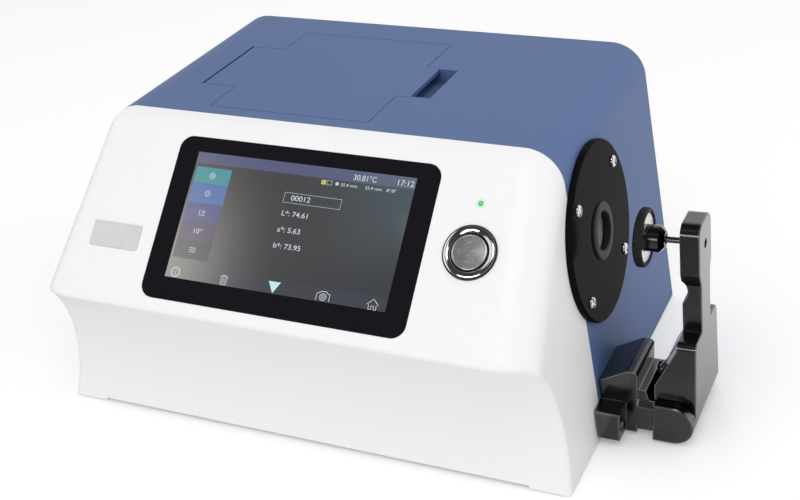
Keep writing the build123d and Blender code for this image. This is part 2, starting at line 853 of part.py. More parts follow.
# Four rubber feet, each with a screw up through its bore
with BuildPart() as feet:
    with BuildSketch(FLOOR.offset(foot_h)):
        with Locations(feet_at):
            Circle(foot_r)
    extrude(amount=-foot_h, taper=foot_taper)
    with BuildSketch(FLOOR):
        with Locations(feet_at):
            Circle(foot_bore_r)
    extrude(amount=foot_bore_h, mode=Mode.SUBTRACT)
    with BuildSketch(FLOOR):
        with Locations(feet_at):
            Circle(foot_shank_r + shank_gap)
    extrude(amount=foot_h, mode=Mode.SUBTRACT)
feet.part.label = "feet"
export_step(feet.part, "parts/feet.step")

with BuildPart() as foot_screws:
    with BuildSketch(FLOOR.offset(foot_bore_h)):
        with Locations(feet_at):
            Circle(foot_bore_r - foot_head_gap)
    extrude(amount=-foot_head_t)
    with BuildSketch(FLOOR.offset(foot_bore_h)):
        with Locations(feet_at):
            Circle(foot_shank_r)
    extrude(amount=base_top - foot_bore_h + foot_shank_over)
foot_screws.part.label = "foot_screws"
export_step(foot_screws.part, "parts/foot_screws.step")

# Screws up through the base plate into the covers' posts
with BuildPart() as cover_screws:
    with BuildSketch(FLOOR.offset(foot_h)):
        with Locations(front_posts_at + rear_posts_at):
            Circle(head_r)
    extrude(amount=-head_t)
    with BuildSketch(FLOOR.offset(foot_h)):
        with Locations(front_posts_at + rear_posts_at):
            Circle(shank_r)
    extrude(amount=base_t + post_hole - 2)
cover_screws.part.label = "cover_screws"
export_step(cover_screws.part, "parts/cover_screws.step")

# Rear panel: sheet let in from the back edge, with cut-outs for its connectors and rows of vents
with BuildPart() as rear_panel:
    add(plate_form)
    split(bisect_by=REAR.offset(-panel_t), keep=Keep.TOP)
    split(bisect_by=FLOOR.offset(base_top + panel_lift), keep=Keep.TOP)
    with BuildSketch(REAR):
        with Locations((-inlet_x, connector_h)):
            Circle(inlet_r + fit_gap)
        with Locations((-usb_x, connector_h)):
            Rectangle(usb_w + 2 * fit_gap, usb_h + 2 * fit_gap)
        with Locations((-serial_x, connector_h)):
            Rectangle(shell_w + 2 * fit_gap, shell_h + 2 * fit_gap)
        with Locations(serial_posts_at):
            Circle(hole_r)
        with Locations((-switch_x, connector_h)):
            Rectangle(frame_w - 2 * frame_rim + 2 * fit_gap, frame_l - 2 * frame_rim + 2 * fit_gap)
        with Locations(panel_screws_at):
            Circle(hole_r)
        with Locations((-vent_x, vent_h)):
            with GridLocations(vent_pitch, vent_l + vent_pitch, vent_columns, vent_rows):
                SlotOverall(vent_l, vent_w, rotation=90)
    extrude(amount=-panel_t, mode=Mode.SUBTRACT)
rear_panel.part.label = "rear_panel"
export_step(rear_panel.part, "parts/rear_panel.step")

with BuildPart() as rear_screws:
    with BuildSketch(REAR):
        with Locations(panel_screws_at):
            Circle(head_r)
    extrude(amount=panel_recess - fit_gap)
    with BuildSketch(REAR):
        with Locations(panel_screws_at):
            Circle(shank_r)
    extrude(amount=-panel_t - flange_t - 1)
rear_screws.part.label = "rear_screws"
export_step(rear_screws.part, "parts/rear_screws.step")

# Power inlet: a round jack with a pin in its bore
with BuildPart() as dc_inlet:
    with BuildSketch(REAR):
        with Locations((-inlet_x, connector_h)):
            Circle(inlet_r + inlet_rim)
    extrude(amount=inlet_rim)
    with BuildSketch(REAR):
        with Locations((-inlet_x, connector_h)):
            Circle(inlet_r)
    extrude(amount=-inlet_l)
    with BuildSketch(REAR.offset(inlet_rim)):
        with Locations((-inlet_x, connector_h)):
            Circle(inlet_bore_r)
            Circle(inlet_pin_r, mode=Mode.SUBTRACT)
    extrude(amount=1 - inlet_l, mode=Mode.SUBTRACT)
dc_inlet.part.label = "dc_inlet"
export_step(dc_inlet.part, "parts/dc_inlet.step")

# USB socket: a square shell with a tongue in it, and a collar behind the panel
with BuildPart() as usb_socket:
    with BuildSketch(REAR):
        with Locations((-usb_x, connector_h)):
            Rectangle(usb_w, usb_h)
    extrude(amount=-usb_l)
    with BuildSketch(REAR.offset(-panel_t)):
        with Locations((-usb_x, connector_h)):
            Rectangle(usb_w + 2 * usb_collar, usb_h + 2 * usb_collar)
    extrude(amount=-usb_collar)
    with BuildSketch(REAR):
        with Locations((-usb_x, connector_h)):
            Rectangle(usb_w - 2 * usb_shell, usb_h - 2 * usb_shell)
            Rectangle(usb_w / 2, usb_h / 3, mode=Mode.SUBTRACT)
    extrude(amount=2 * usb_shell - usb_l, mode=Mode.SUBTRACT)
usb_socket.part.label = "usb_socket"
export_step(usb_socket.part, "parts/usb_socket.step")

# Serial socket: a shell through the panel from a flange behind it, and its two hex posts
with BuildPart() as serial_socket:
    with BuildSketch(REAR.offset(-panel_t)):
        with Locations((-serial_x, connector_h)):
            RectangleRounded(serial_w, serial_h, 2)
        with Locations(serial_posts_at):
            Circle(hole_r, mode=Mode.SUBTRACT)
    extrude(amount=-serial_flange_t)
    with BuildSketch(REAR.offset(-panel_t - serial_flange_t)):
        with Locations((-serial_x, connector_h)):
            RectangleRounded(shell_w, shell_h, shell_h / 4)
    extrude(amount=panel_t + serial_flange_t + panel_recess - fit_gap)
    with BuildSketch(REAR.offset(-panel_t - serial_flange_t)):
        with Locations((-serial_x, connector_h)):
            Rectangle(shell_w + 1, shell_h + 1)
    extrude(amount=-serial_l)
    with BuildSketch(REAR.offset(-panel_t)):
        with Locations((-serial_x, connector_h)):
            RectangleRounded(shell_w - 1, shell_h - 1, shell_h / 4)
    extrude(amount=2 * panel_t, mode=Mode.SUBTRACT)
    with BuildSketch(REAR.offset(-panel_t)):
        with Locations((-serial_x, connector_h)):
            with GridLocations(serial_pin_pitch, serial_pin_pitch, 5, 2):
                Circle(serial_pin_r)
    extrude(amount=panel_t)
serial_socket.part.label = "serial_socket"
export_step(serial_socket.part, "parts/serial_socket.step")

with BuildPart() as serial_posts:
    with BuildSketch(REAR):
        with Locations(serial_posts_at):
            RegularPolygon(head_r, 6)
    extrude(amount=panel_recess - fit_gap)
    with BuildSketch(REAR):
        with Locations(serial_posts_at):
            Circle(shank_r)
    extrude(amount=-panel_t - 2 * serial_flange_t)
serial_posts.part.label = "serial_posts"
export_step(serial_posts.part, "parts/serial_posts.step")

# Power switch: a frame clipped into the panel, and a rocker on two stub axles in it
with BuildPart() as rocker_frame:
    with BuildSketch(REAR):
        with Locations((-switch_x, connector_h)):
            RectangleRounded(frame_w, frame_l, 1)
    extrude(amount=frame_proud)
    with BuildSketch(REAR):
        with Locations((-switch_x, connector_h)):
            Rectangle(frame_w - 2 * frame_rim, frame_l - 2 * frame_rim)
    extrude(amount=-frame_depth)
    with BuildSketch(REAR.offset(frame_proud)):
        with Locations((-switch_x, connector_h)):
            Rectangle(rocker_w + 2 * rocker_gap, 2 * (rocker_half + rocker_swing))
    extrude(amount=frame_rim - frame_depth, mode=Mode.SUBTRACT)
    with BuildSketch(ROCKER):
        Circle(axle_r + pin_gap)
    extrude(amount=rocker_w / 2 + axle_l + fit_gap, both=True, mode=Mode.SUBTRACT)
rocker_frame.part.label = "rocker_frame"
export_step(rocker_frame.part, "parts/rocker_frame.step")

with BuildPart() as power_rocker:
    with BuildSketch(ROCKER):
        with BuildLine():
            crown = ThreePointArc((rocker_high, -rocker_half), (rocker_low, 0), (rocker_high, rocker_half))
            Polyline(crown @ 1, (-rocker_low, rocker_half / 3), (-rocker_low, -rocker_half / 3), crown @ 0)
        make_face()
    extrude(amount=rocker_w / 2, both=True)
    with BuildSketch(ROCKER):
        Circle(axle_r)
    extrude(amount=rocker_w / 2 + axle_l, both=True)
power_rocker.part.label = "power_rocker"
export_step(power_rocker.part, "parts/power_rocker.step")

# Measuring port: a round plate on the side wall, its hub through the wall, and its aperture insert
with BuildPart() as port_plate:
    with BuildSketch(PORT):
        Circle(port_r)
    extrude(amount=port_t)
    fillet(port_plate.edges().sort_by(Axis(PORT.origin, PORT.z_dir))[-1], port_edge_r)
    with BuildSketch(PORT):
        Circle(port_hub_r)
    extrude(amount=-port_hub_l)
    with BuildSketch(PORT.offset(port_t)):
        Circle(insert_r + fit_gap)
    extrude(amount=-insert_t, mode=Mode.SUBTRACT)
    with BuildSketch(PORT.offset(port_t)):
        Circle(web_bore_r)
        with Locations(port_screws_at):
            Circle(hole_r)
    extrude(amount=-port_t - port_hub_l, mode=Mode.SUBTRACT)
    with BuildSketch(PORT.offset(-port_hub_l)):
        Circle(port_neck_r + fit_gap)
    extrude(amount=port_hub_l, mode=Mode.SUBTRACT)
port_plate.part.label = "port_plate"
export_step(port_plate.part, "parts/port_plate.step")

with BuildPart() as port_screws:
    with BuildSketch(PORT.offset(port_t)):
        with Locations(port_screws_at):
            Circle(port_screw_r)
    extrude(amount=port_screw_t)
    fillet(port_screws.edges().group_by(Axis(PORT.origin, PORT.z_dir))[-1], port_screw_t / 2)
    with BuildSketch(PORT.offset(port_t)):
        with Locations(port_screws_at):
            Circle(shank_r)
    extrude(amount=-port_t - wall / 2 - port_boss_l)
port_screws.part.label = "port_screws"
export_step(port_screws.part, "parts/port_screws.step")

with BuildPart() as aperture_ring:
    with BuildSketch(PORT.offset(port_t - insert_t)):
        Circle(insert_r)
        Circle(aperture_r, mode=Mode.SUBTRACT)
    extrude(amount=insert_t + insert_proud)
    ring_face = aperture_ring.faces().sort_by(Axis(PORT.origin, PORT.z_dir))[-1]
    chamfer(ring_face.edges(), insert_bevel)
aperture_ring.part.label = "aperture_ring"
export_step(aperture_ring.part, "parts/aperture_ring.step")

# Integrating sphere: a white-lined shell in two flanged halves, with necks to port, sample and lamp
LAMP = Plane(sphere_mid + Vector(0, lamp_y, 0), x_dir=(1, 0, 0), z_dir=(0, -1, 0))
with BuildPart() as sphere_form:
    with Locations(sphere_mid):
        Sphere(sphere_r)
    with BuildSketch(Plane(sphere_mid, x_dir=(1, 0, 0), z_dir=(0, -1, 0))):
        Circle(sphere_flange_r)
    extrude(amount=sphere_flange_t, both=True)
    with BuildSketch(PORT.offset(-fit_gap)):
        Circle(port_neck_r)
    extrude(amount=sphere_r / 2 - sphere_back)
    with BuildSketch(BEAM.offset(tub_right + tube_gap)):
        Circle(sample_neck_r)
    extrude(amount=sphere_mid.X - body_x - tub_right - sphere_r / 2)
    with BuildSketch(LAMP.offset(tube_gap)):
        Circle(lamp_neck_r)
    extrude(amount=lamp_y - sphere_r / 2)
    with Locations(sphere_mid):
        Sphere(sphere_r - sphere_wall, mode=Mode.SUBTRACT)
    with BuildSketch(PORT):
        Circle(port_neck_r - neck_wall)
    extrude(amount=-sphere_back, mode=Mode.SUBTRACT)
    with BuildSketch(BEAM):
        Circle(sample_neck_r - neck_wall)
    extrude(amount=sphere_mid.X - body_x, mode=Mode.SUBTRACT)
    with BuildSketch(LAMP):
        Circle(lamp_neck_r - neck_wall)
    extrude(amount=lamp_y, mode=Mode.SUBTRACT)

with BuildPart() as sphere_front:
    add(sphere_form.part)
    split(bisect_by=Plane.XZ.offset(-port_y), keep=Keep.TOP)
sphere_front.part.label = "sphere_front"
export_step(sphere_front.part, "parts/sphere_front.step")

with BuildPart() as sphere_rear:
    add(sphere_form.part)
    split(bisect_by=Plane.XZ.offset(-port_y), keep=Keep.BOTTOM)
sphere_rear.part.label = "sphere_rear"
export_step(sphere_rear.part, "parts/sphere_rear.step")

# Saddle that carries the sphere, its two blocks cut to the sphere's curve
with BuildPart() as sphere_stand:
    with BuildSketch(Plane((sphere_mid.X, port_y, bench_top))):
        Rectangle(stand_w, 2 * stand_y + stand_block)
    extrude(amount=stand_foot_t)
    with BuildSketch(Plane((sphere_mid.X, port_y, bench_top))):
        with Locations((0, -stand_y), (0, stand_y)):
            Rectangle(stand_w, stand_block)
    extrude(amount=stand_h)
    with Locations(sphere_mid):
        Sphere(sphere_r + fit_gap, mode=Mode.SUBTRACT)
sphere_stand.part.label = "sphere_stand"
export_step(sphere_stand.part, "parts/sphere_stand.step")

# Lamp module behind the sphere, with cooling fins down its back
with BuildPart() as lamp_module:
    with BuildSketch(Plane((sphere_mid.X, lamp_y, bench_top))):
        Rectangle(lamp_w, lamp_l, align=(Align.CENTER, Align.MIN))
    extrude(amount=lamp_top - bench_top)
    with BuildSketch(Plane((sphere_mid.X, lamp_y + lamp_l, lamp_top), x_dir=(1, 0, 0), z_dir=(0, -1, 0))):
        with GridLocations(fin_pitch, 1, int((lamp_w - fin_pitch) / fin_pitch), 1):
            Rectangle(fin_pitch / 2, 2 * (lamp_top - bench_top - fin_depth))
    extrude(amount=fin_depth, mode=Mode.SUBTRACT)
    with BuildSketch(LAMP):
        Circle(lamp_neck_r - neck_wall)
    extrude(amount=-lamp_l / 2, mode=Mode.SUBTRACT)
lamp_module.part.label = "lamp_module"
export_step(lamp_module.part, "parts/lamp_module.step")

# Collector on the far side of the compartment: a tube with its lens, in a mount on the bench
with BuildPart() as lens_tube:
    with BuildSketch(BEAM.offset(tub_left - tube_gap)):
        Circle(tube_r)
        Circle(tube_bore_r, mode=Mode.SUBTRACT)
    extrude(amount=-tube_l)
lens_tube.part.label = "lens_tube"
export_step(lens_tube.part, "parts/lens_tube.step")

LENS = Plane(BEAM.from_local_coords((0, 0, lens_x)), x_dir=(0, 0, 1), z_dir=(0, -1, 0))
lens_r = tube_bore_r - shank_gap
with BuildPart() as collector_lens:
    with BuildSketch(LENS):
        with BuildLine():
            ThreePointArc((0, lens_t / 2), (lens_r / 2, lens_t * 7 / 16), (lens_r, lens_t / 4))
            ThreePointArc((0, -lens_t / 2), (lens_r / 2, -lens_t * 7 / 16), (lens_r, -lens_t / 4))
            Line((lens_r, lens_t / 4), (lens_r, -lens_t / 4))
            Line((0, -lens_t / 2), (0, lens_t / 2))
        make_face()
    revolve(axis=Axis(LENS.origin, (1, 0, 0)))
collector_lens.part.label = "collector_lens"
export_step(collector_lens.part, "parts/collector_lens.step")

with BuildPart() as lens_mount:
    with BuildSketch(BEAM.offset(tub_left - tube_gap - (tube_l + mount_t) / 2)):
        Circle(mount_r)
        Rectangle(2 * mount_r, sphere_mid.Z - bench_top, align=(Align.CENTER, Align.MAX))
        Circle(tube_r + shank_gap, mode=Mode.SUBTRACT)
    extrude(amount=mount_t)
lens_mount.part.label = "lens_mount"
export_step(lens_mount.part, "parts/lens_mount.step")

# Optics bench, a plate on six posts
with BuildPart() as optics_bench:
    with BuildSketch(FLOOR.offset(bench_h)):
        with Locations((0, (bench_front + bench_back) / 2)):
            RectangleRounded(bench_w, bench_back - bench_front, bench_post_in)
    extrude(amount=bench_t)
optics_bench.part.label = "optics_bench"
export_step(optics_bench.part, "parts/optics_bench.step")

with BuildPart() as bench_posts:
    with BuildSketch(FLOOR.offset(base_top)):
        with Locations(bench_posts_at):
            Circle(post_r)
    extrude(amount=bench_h - base_top)
bench_posts.part.label = "bench_posts"
export_step(bench_posts.part, "parts/bench_posts.step")

# Spectrometer: a closed casting with the socket of its light guide on top
with BuildPart() as spectrometer_box:
    with BuildSketch(FLOOR.offset(base_top)):
        with Locations((box_x, box_y)):
            RectangleRounded(box_w, box_l, wall)
    extrude(amount=box_h)
    with BuildSketch(FLOOR.offset(base_top + box_h)):
        with Locations((box_x + box_w / 3, box_y)):
            Circle(post_r)
            Circle(shank_r, mode=Mode.SUBTRACT)
    extrude(amount=box_h / 5)
spectrometer_box.part.label = "spectrometer_box"
export_step(spectrometer_box.part, "parts/spectrometer_box.step")

# Circuit boards on standoffs
with BuildPart() as main_board:
    with BuildSketch(FLOOR.offset(board_h)):
        with Locations((board_x, main_y)):
            Rectangle(board_w, main_l)
    extrude(amount=board_t)
    with BuildSketch(FLOOR.offset(board_h + board_t)):
        with Locations((board_x, main_y)):
            with GridLocations(board_w / 3, main_l / 2, 3, 2):
                Rectangle(chip_w, chip_w)
    extrude(amount=chip_t)
main_board.part.label = "main_board"
export_step(main_board.part, "parts/main_board.step")

with BuildPart() as power_board:
    with BuildSketch(FLOOR.offset(board_h)):
        with Locations((board_x, power_y)):
            Rectangle(board_w, power_l)
    extrude(amount=board_t)
    with BuildSketch(FLOOR.offset(board_h + board_t)):
        with Locations((board_x, power_y)):
            with GridLocations(board_w / 4, 1, 4, 1):
                Circle(chip_w / 3)
    extrude(amount=chip_w)
power_board.part.label = "power_board"
export_step(power_board.part, "parts/power_board.step")

with BuildPart() as board_standoffs:
    with BuildSketch(FLOOR.offset(base_top)):
        with Locations((board_x, main_y)):
            with GridLocations(board_w - 2 * standoff_in, main_l - 2 * standoff_in, 2, 2):
                Circle(standoff_r)
        with Locations((board_x, power_y)):
            with GridLocations(board_w - 2 * standoff_in, power_l - 2 * standoff_in, 2, 2):
                Circle(standoff_r)
    extrude(amount=board_h - base_top)
board_standoffs.part.label = "board_standoffs"
export_step(board_standoffs.part, "parts/board_standoffs.step")

# Holder bracket: a machined block on the side wall, with an ear at its front and one at its back
foot_face_x = body_w / 2 + foot_out - pivot_out
rear_foot_x = body_w / 2 + rear_foot_out - pivot_out
with BuildPart() as holder_bracket:
    with BuildSketch(PIVOT.offset(-block_back)):
        Polygon(
            (seat_x(bracket_low), bracket_low - pivot_h),
            (-block_in, bracket_low - pivot_h),
            (-block_in, block_h - pivot_h),
            (-block_in - block_top_w, block_h - pivot_h),
            (seat_x(block_side_h), block_side_h - pivot_h),
        )
    extrude(amount=block_back + block_y)
    top_edges = holder_bracket.edges().filter_by(Axis.Y).group_by(Axis.Z)[-1]
    fillet(top_edges, block_corner_r)
    with BuildSketch(PIVOT.offset(-block_back)):
        Polygon(
            (-block_in - 1, bracket_low - pivot_h),
            (-shelf_in, bracket_low - pivot_h),
            (-shelf_in, shelf_bevel_h - pivot_h),
            (-shelf_in - shelf_bevel, shelf_h - pivot_h),
            (-block_in - 1, shelf_h - pivot_h),
        )
    extrude(amount=block_back + ear_in)
    with BuildSketch(LINK.offset(ear_back - 1)):
        Polygon(
            (ear_in, link_low - pivot_h),
            (block_y - link_low_bevel, link_low - pivot_h),
            (block_y, link_low + link_low_bevel_h - pivot_h),
            (block_y, link_high - link_bevel - pivot_h),
            (block_y - link_bevel, link_high - pivot_h),
            (ear_in, link_high - pivot_h),
        )
    extrude(amount=block_in - ear_back + 2)
    with BuildSketch(PIVOT.offset(ear_in)):
        Circle(ear_r)
        Rectangle(ear_back, 2 * ear_r, align=(Align.MAX, Align.CENTER))
    extrude(amount=ear_t)
    chamfer(holder_bracket.faces().sort_by(Axis.Y)[0].edges(), ear_bevel)
    with BuildSketch(PIVOT.offset(block_y - 1)):
        Polygon(
            (seat_x(foot_low), foot_low - pivot_h),
            (foot_face_x, foot_low - pivot_h),
            (foot_face_x, foot_high - pivot_h),
            (seat_x(foot_high), foot_high - pivot_h),
        )
    extrude(amount=foot_reach - block_y + 1)
    chamfer(holder_bracket.faces().sort_by(Axis.Y)[0].edges(), ear_bevel)
    with BuildSketch(PIVOT):
        Polygon(
            (seat_x(bracket_low), bracket_low - pivot_h),
            (-shelf_in, bracket_low - pivot_h),
            (-shelf_in, rail_h - pivot_h),
            (seat_x(rail_h), rail_h - pivot_h),
        )
    extrude(amount=-ear_in - ear_t)
    with BuildSketch(PIVOT.offset(-rear_foot_y)):
        Polygon(
            (seat_x(bracket_low), bracket_low - pivot_h),
            (rear_foot_x, bracket_low - pivot_h),
            (rear_foot_x, rear_foot_high - pivot_h),
            (seat_x(rear_foot_high), rear_foot_high - pivot_h),
        )
    extrude(amount=rear_foot_y - ear_in - ear_t)
    with BuildSketch(PIVOT.offset(-ear_in)):
        Circle(rear_ear_r)
        Polygon(
            (-shelf_in - 1, -rear_ear_r),
            (0, -rear_ear_r),
            (0, rail_h - pivot_h),
            (-shelf_in - 1, rail_h - pivot_h),
        )
    extrude(amount=-ear_t)
    with BuildSketch(PIVOT.offset(ear_in + ear_t - pin_cover)):
        Circle(holder_pin_r + pin_gap)
    extrude(amount=pin_cover - 2 * (ear_in + ear_t), mode=Mode.SUBTRACT)
    with BuildSketch(PIVOT):
        with Locations((-anchor_in, anchor_up)):
            Rectangle(2 * slot_half, 2 * slot_half)
            Rectangle(2 * anchor_in, shelf_h, align=(Align.MIN, Align.MIN))
    extrude(amount=slot_half, both=True, mode=Mode.SUBTRACT)
    with BuildSketch(PIVOT):
        with Locations((-anchor_in, anchor_up)):
            Circle(cross_pin_r + pin_gap)
    extrude(amount=cross_pin_l / 2, both=True, mode=Mode.SUBTRACT)
    with BuildSketch(MID.offset(body_w / 2 + foot_out)):
        with Locations((-front_screw_y, pivot_h), (rear_screw_y, pivot_h)):
            Circle(holder_screw_r + shank_gap)
    extrude(amount=-holder_screw_l, mode=Mode.SUBTRACT)
holder_bracket.part.label = "holder_bracket"
export_step(holder_bracket.part, "parts/holder_bracket.step")

# Screws of the bracket: one in the front foot, and one in the lower foot at the back
with BuildPart() as holder_screws:
    for out, y in ((foot_out, -front_screw_y), (rear_foot_out, rear_screw_y)):
        with BuildSketch(MID.offset(body_w / 2 + out)):
            with Locations((y, pivot_h)):
                Circle(2 * holder_screw_r)
        extrude(amount=holder_screw_r)
        with BuildSketch(MID.offset(body_w / 2 + out)):
            with Locations((y, pivot_h)):
                Circle(holder_screw_r)
        extrude(amount=-holder_screw_l)
    fillet([head.edges().sort_by(Axis.X)[-1] for head in holder_screws.solids()], holder_screw_r / 3)
holder_screws.part.label = "holder_screws"
export_step(holder_screws.part, "parts/holder_screws.step")

# Cross pin of the arm, put in from the back and stopped in the front ear
with BuildPart() as holder_pin:
    with BuildSketch(PIVOT.offset(ear_in + ear_t - pin_cover - fit_gap)):
        Circle(holder_pin_r)
    extrude(amount=pin_cover + fit_gap - 2 * (ear_in + ear_t))
holder_pin.part.label = "holder_pin"
export_step(holder_pin.part, "parts/holder_pin.step")

# Holder arm: machined from a flat bar, wide at the pin, waisted, with a round-cornered head
arm_in = ear_r - arm_t
with BuildPart() as holder_arm:
    with BuildSketch(ARM_FACE.offset(-2 * ear_r)) as outline:
        Polygon(
            (arm_base_w / 2, -ear_r),
            (arm_base_w / 2, 0),
            (arm_shoulder_w / 2, shoulder_h),
            (arm_neck_w / 2, shoulder_h),
            (arm_neck_w / 2, neck_high),
            (arm_head_w / 2, head_low),
            (arm_head_w / 2, arm_h),
            (-arm_head_w / 2, arm_h),
            (-arm_head_w / 2, head_low),
            (-arm_neck_w / 2, neck_high),
            (-arm_neck_w / 2, shoulder_h),
            (-arm_shoulder_w / 2, shoulder_h),
            (-arm_base_w / 2, 0),
            (-arm_base_w / 2, -ear_r),
        )
        shoulders = outline.vertices().group_by(Axis.Y)[2].sort_by(Axis.X)
        fillet([shoulders[0], shoulders[-1]], shoulder_r)
        fillet(shoulders[1:-1], neck_r)
        fillet(outline.vertices().group_by(Axis.Y)[-1], head_corner_r)
    extrude(amount=3 * ear_r)
    outer_face = holder_arm.faces().sort_by(Axis(pivot, arm_out))[-1]
    chamfer(outer_face.edges(), arm_bevel)
    with BuildSketch(ARM_SIDE):
        Circle(ear_r)
        Polygon(
            (-ear_r, 0),
            (ear_r, 0),
            (ear_r, arm_h),
            (arm_in, arm_h),
            (arm_in, flare_high),
            (-ear_r, flare_low),
        )
        with Locations((arm_in + grip_depth - grip_r, grip_h)):
            Circle(grip_r, mode=Mode.SUBTRACT)
    extrude(amount=arm_base_w, both=True, mode=Mode.INTERSECT)
    with BuildSketch(ARM_SIDE):
        Circle(holder_pin_r + pin_gap)
    extrude(amount=arm_base_w, both=True, mode=Mode.SUBTRACT)
    with BuildSketch(ARM_FACE.offset(ear_r)):
        with Locations((0, rod_up)):
            Circle(rod_screw_r + rod_gap)
    extrude(amount=-rod_screw_in, mode=Mode.SUBTRACT)
    with BuildSketch(ARM_FACE.offset(ear_r)):
        with Locations((0, rod_up)):
            Circle(rod_r + rod_gap)
    extrude(amount=-2 * arm_t, mode=Mode.SUBTRACT)
    with BuildSketch(ARM_SIDE):
        Polygon(
            (-2 * ear_r, spring_slot_low),
            (-spring_slot_in, spring_slot_low),
            (hook_clear - hook_in, hook_up - hook_clear),
            (hook_clear - hook_in, hook_up + hook_clear),
            (-2 * ear_r, hook_up + hook_clear),
        )
    extrude(amount=slot_half, both=True, mode=Mode.SUBTRACT)
    with BuildSketch(PIVOT):
        with Locations((-hook_in, hook_up)):
            Circle(cross_pin_r + pin_gap)
    extrude(amount=cross_pin_l / 2, both=True, mode=Mode.SUBTRACT)
holder_arm.part.label = "holder_arm"
export_step(holder_arm.part, "parts/holder_arm.step")

# Plunger: a rod with a ball end, and the screw that holds it at the arm's outer face
with BuildPart() as plunger_rod:
    with BuildSketch(ARM_FACE.offset(ear_r - rod_screw_in)):
        with Locations((0, rod_up)):
            Circle(rod_r)
    extrude(amount=rod_screw_in - ear_r - ball_out)
    with Locations(ARM_FACE.from_local_coords((0, rod_up, -ball_out))):
        Sphere(ball_r)
plunger_rod.part.label = "plunger_rod"
export_step(plunger_rod.part, "parts/plunger_rod.step")

with BuildPart() as rod_screw:
    with BuildSketch(ARM_FACE.offset(ear_r - rod_screw_in)):
        with Locations((0, rod_up)):
            Circle(rod_screw_r)
    extrude(amount=rod_screw_l)
    with BuildSketch(ARM_FACE.offset(ear_r - rod_screw_in + rod_screw_l)):
        with Locations((0, rod_up)):
            RegularPolygon(rod_screw_r / 2, 6)
    extrude(amount=-rod_screw_l / 2, mode=Mode.SUBTRACT)
rod_screw.part.label = "rod_screw"
export_step(rod_screw.part, "parts/rod_screw.step")

# Hub of the ball joint: a round neck with a bevelled hex nut, open to the ball from the pad's side
with BuildPart() as plunger_hub:
    with BuildSketch(ARM_FACE.offset(-hub_neck)):
        with Locations((0, rod_up)):
            Circle(hub_r)
    extrude(amount=hub_neck - hub_end)
    with BuildSketch(ARM_FACE.offset(-hub_start)):
        with Locations((0, rod_up)):
            RegularPolygon(hub_across / 2, 6, major_radius=False)
    extrude(amount=hub_start - hub_neck)
    nut_end = hub_across / 2 - (hub_nut - hub_start)
    with BuildSketch(ARM_FACE.offset(-hub_end)):
        with Locations((0, rod_up)):
            Circle(nut_end + hub_end - hub_start)
    extrude(amount=hub_end - hub_start, taper=45, mode=Mode.INTERSECT)
    with Locations(ARM_FACE.from_local_coords((0, rod_up, -ball_out))):
        Sphere(ball_r + ball_gap, mode=Mode.SUBTRACT)
    with BuildSketch(ARM_FACE.offset(-hub_start)):
        with Locations((0, rod_up)):
            Circle(mouth_r)
    extrude(amount=hub_start - ball_out, mode=Mode.SUBTRACT)
    with BuildSketch(ARM_FACE.offset(-ball_out)):
        with Locations((0, rod_up)):
            Circle(ball_r + ball_gap)
    extrude(amount=ball_out - hub_end, mode=Mode.SUBTRACT)
plunger_hub.part.label = "plunger_hub"
export_step(plunger_hub.part, "parts/plunger_hub.step")

# Pad: a metal disc let into the back of a rubber pad
with BuildPart() as pad_ring:
    with BuildSketch(ARM_FACE.offset(-pad_back)):
        with Locations((0, rod_up)):
            Circle(pad_r)
    extrude(amount=-pad_t)
    with BuildSketch(ARM_FACE.offset(-pad_back)):
        with Locations((0, rod_up)):
            Circle(disc_r + disc_gap)
    extrude(amount=pad_web - pad_t, mode=Mode.SUBTRACT)
pad_ring.part.label = "pad_ring"
export_step(pad_ring.part, "parts/pad_ring.step")

with BuildPart() as pad_disc:
    with BuildSketch(ARM_FACE.offset(pad_web - pad_t - pad_back)):
        with Locations((0, rod_up)):
            Circle(disc_r)
    extrude(amount=disc_t)
pad_disc.part.label = "pad_disc"
export_step(pad_disc.part, "parts/pad_disc.step")

# Cross pins that the spring is hooked between, one in the bracket's slot and one in the arm's
with BuildPart() as anchor_pin:
    with BuildSketch(PIVOT):
        with Locations((-anchor_in, anchor_up)):
            Circle(cross_pin_r)
    extrude(amount=cross_pin_l / 2 - fit_gap, both=True)
anchor_pin.part.label = "anchor_pin"
export_step(anchor_pin.part, "parts/anchor_pin.step")

with BuildPart() as hook_pin:
    with BuildSketch(PIVOT):
        with Locations((-hook_in, hook_up)):
            Circle(cross_pin_r)
    extrude(amount=cross_pin_l / 2 - fit_gap, both=True)
hook_pin.part.label = "hook_pin"
export_step(hook_pin.part, "parts/hook_pin.step")

# Holder spring: open coils on a helix, with a bend at each end that brings the wire in line
lead = atan2(spring_pitch, 2 * pi * spring_r)
bend_side = bend_r * (1 - sin(lead))
start_turn = atan2(bend_side, spring_r)
end_turn = 2 * pi * spring_turns - start_turn
coil_l = spring_pitch * (end_turn - start_turn) / (2 * pi)
spring_l = (hook - anchor).length
coil_start = (spring_l - coil_l) / 2
leg_x = hypot(spring_r, bend_side)


def on_coil(turn):
    """A point of the coil's centre line, and the wire's direction there."""
    rise = coil_start + spring_pitch * (turn - start_turn) / (2 * pi)
    point = Vector(spring_r * cos(turn), spring_r * sin(turn), rise)
    return point, Vector(-sin(turn) * cos(lead), cos(turn) * cos(lead), sin(lead))


def biarc_joint(start, start_way, end, end_way):
    """The point where two arcs meet that leave and reach two points in the given directions."""
    gap = end - start
    ways = start_way + end_way
    turn = 2 * (1 - start_way.dot(end_way))
    reach = (sqrt(gap.dot(ways) ** 2 + turn * gap.dot(gap)) - gap.dot(ways)) / turn
    return (start + end + (start_way - end_way) * reach) * 0.5


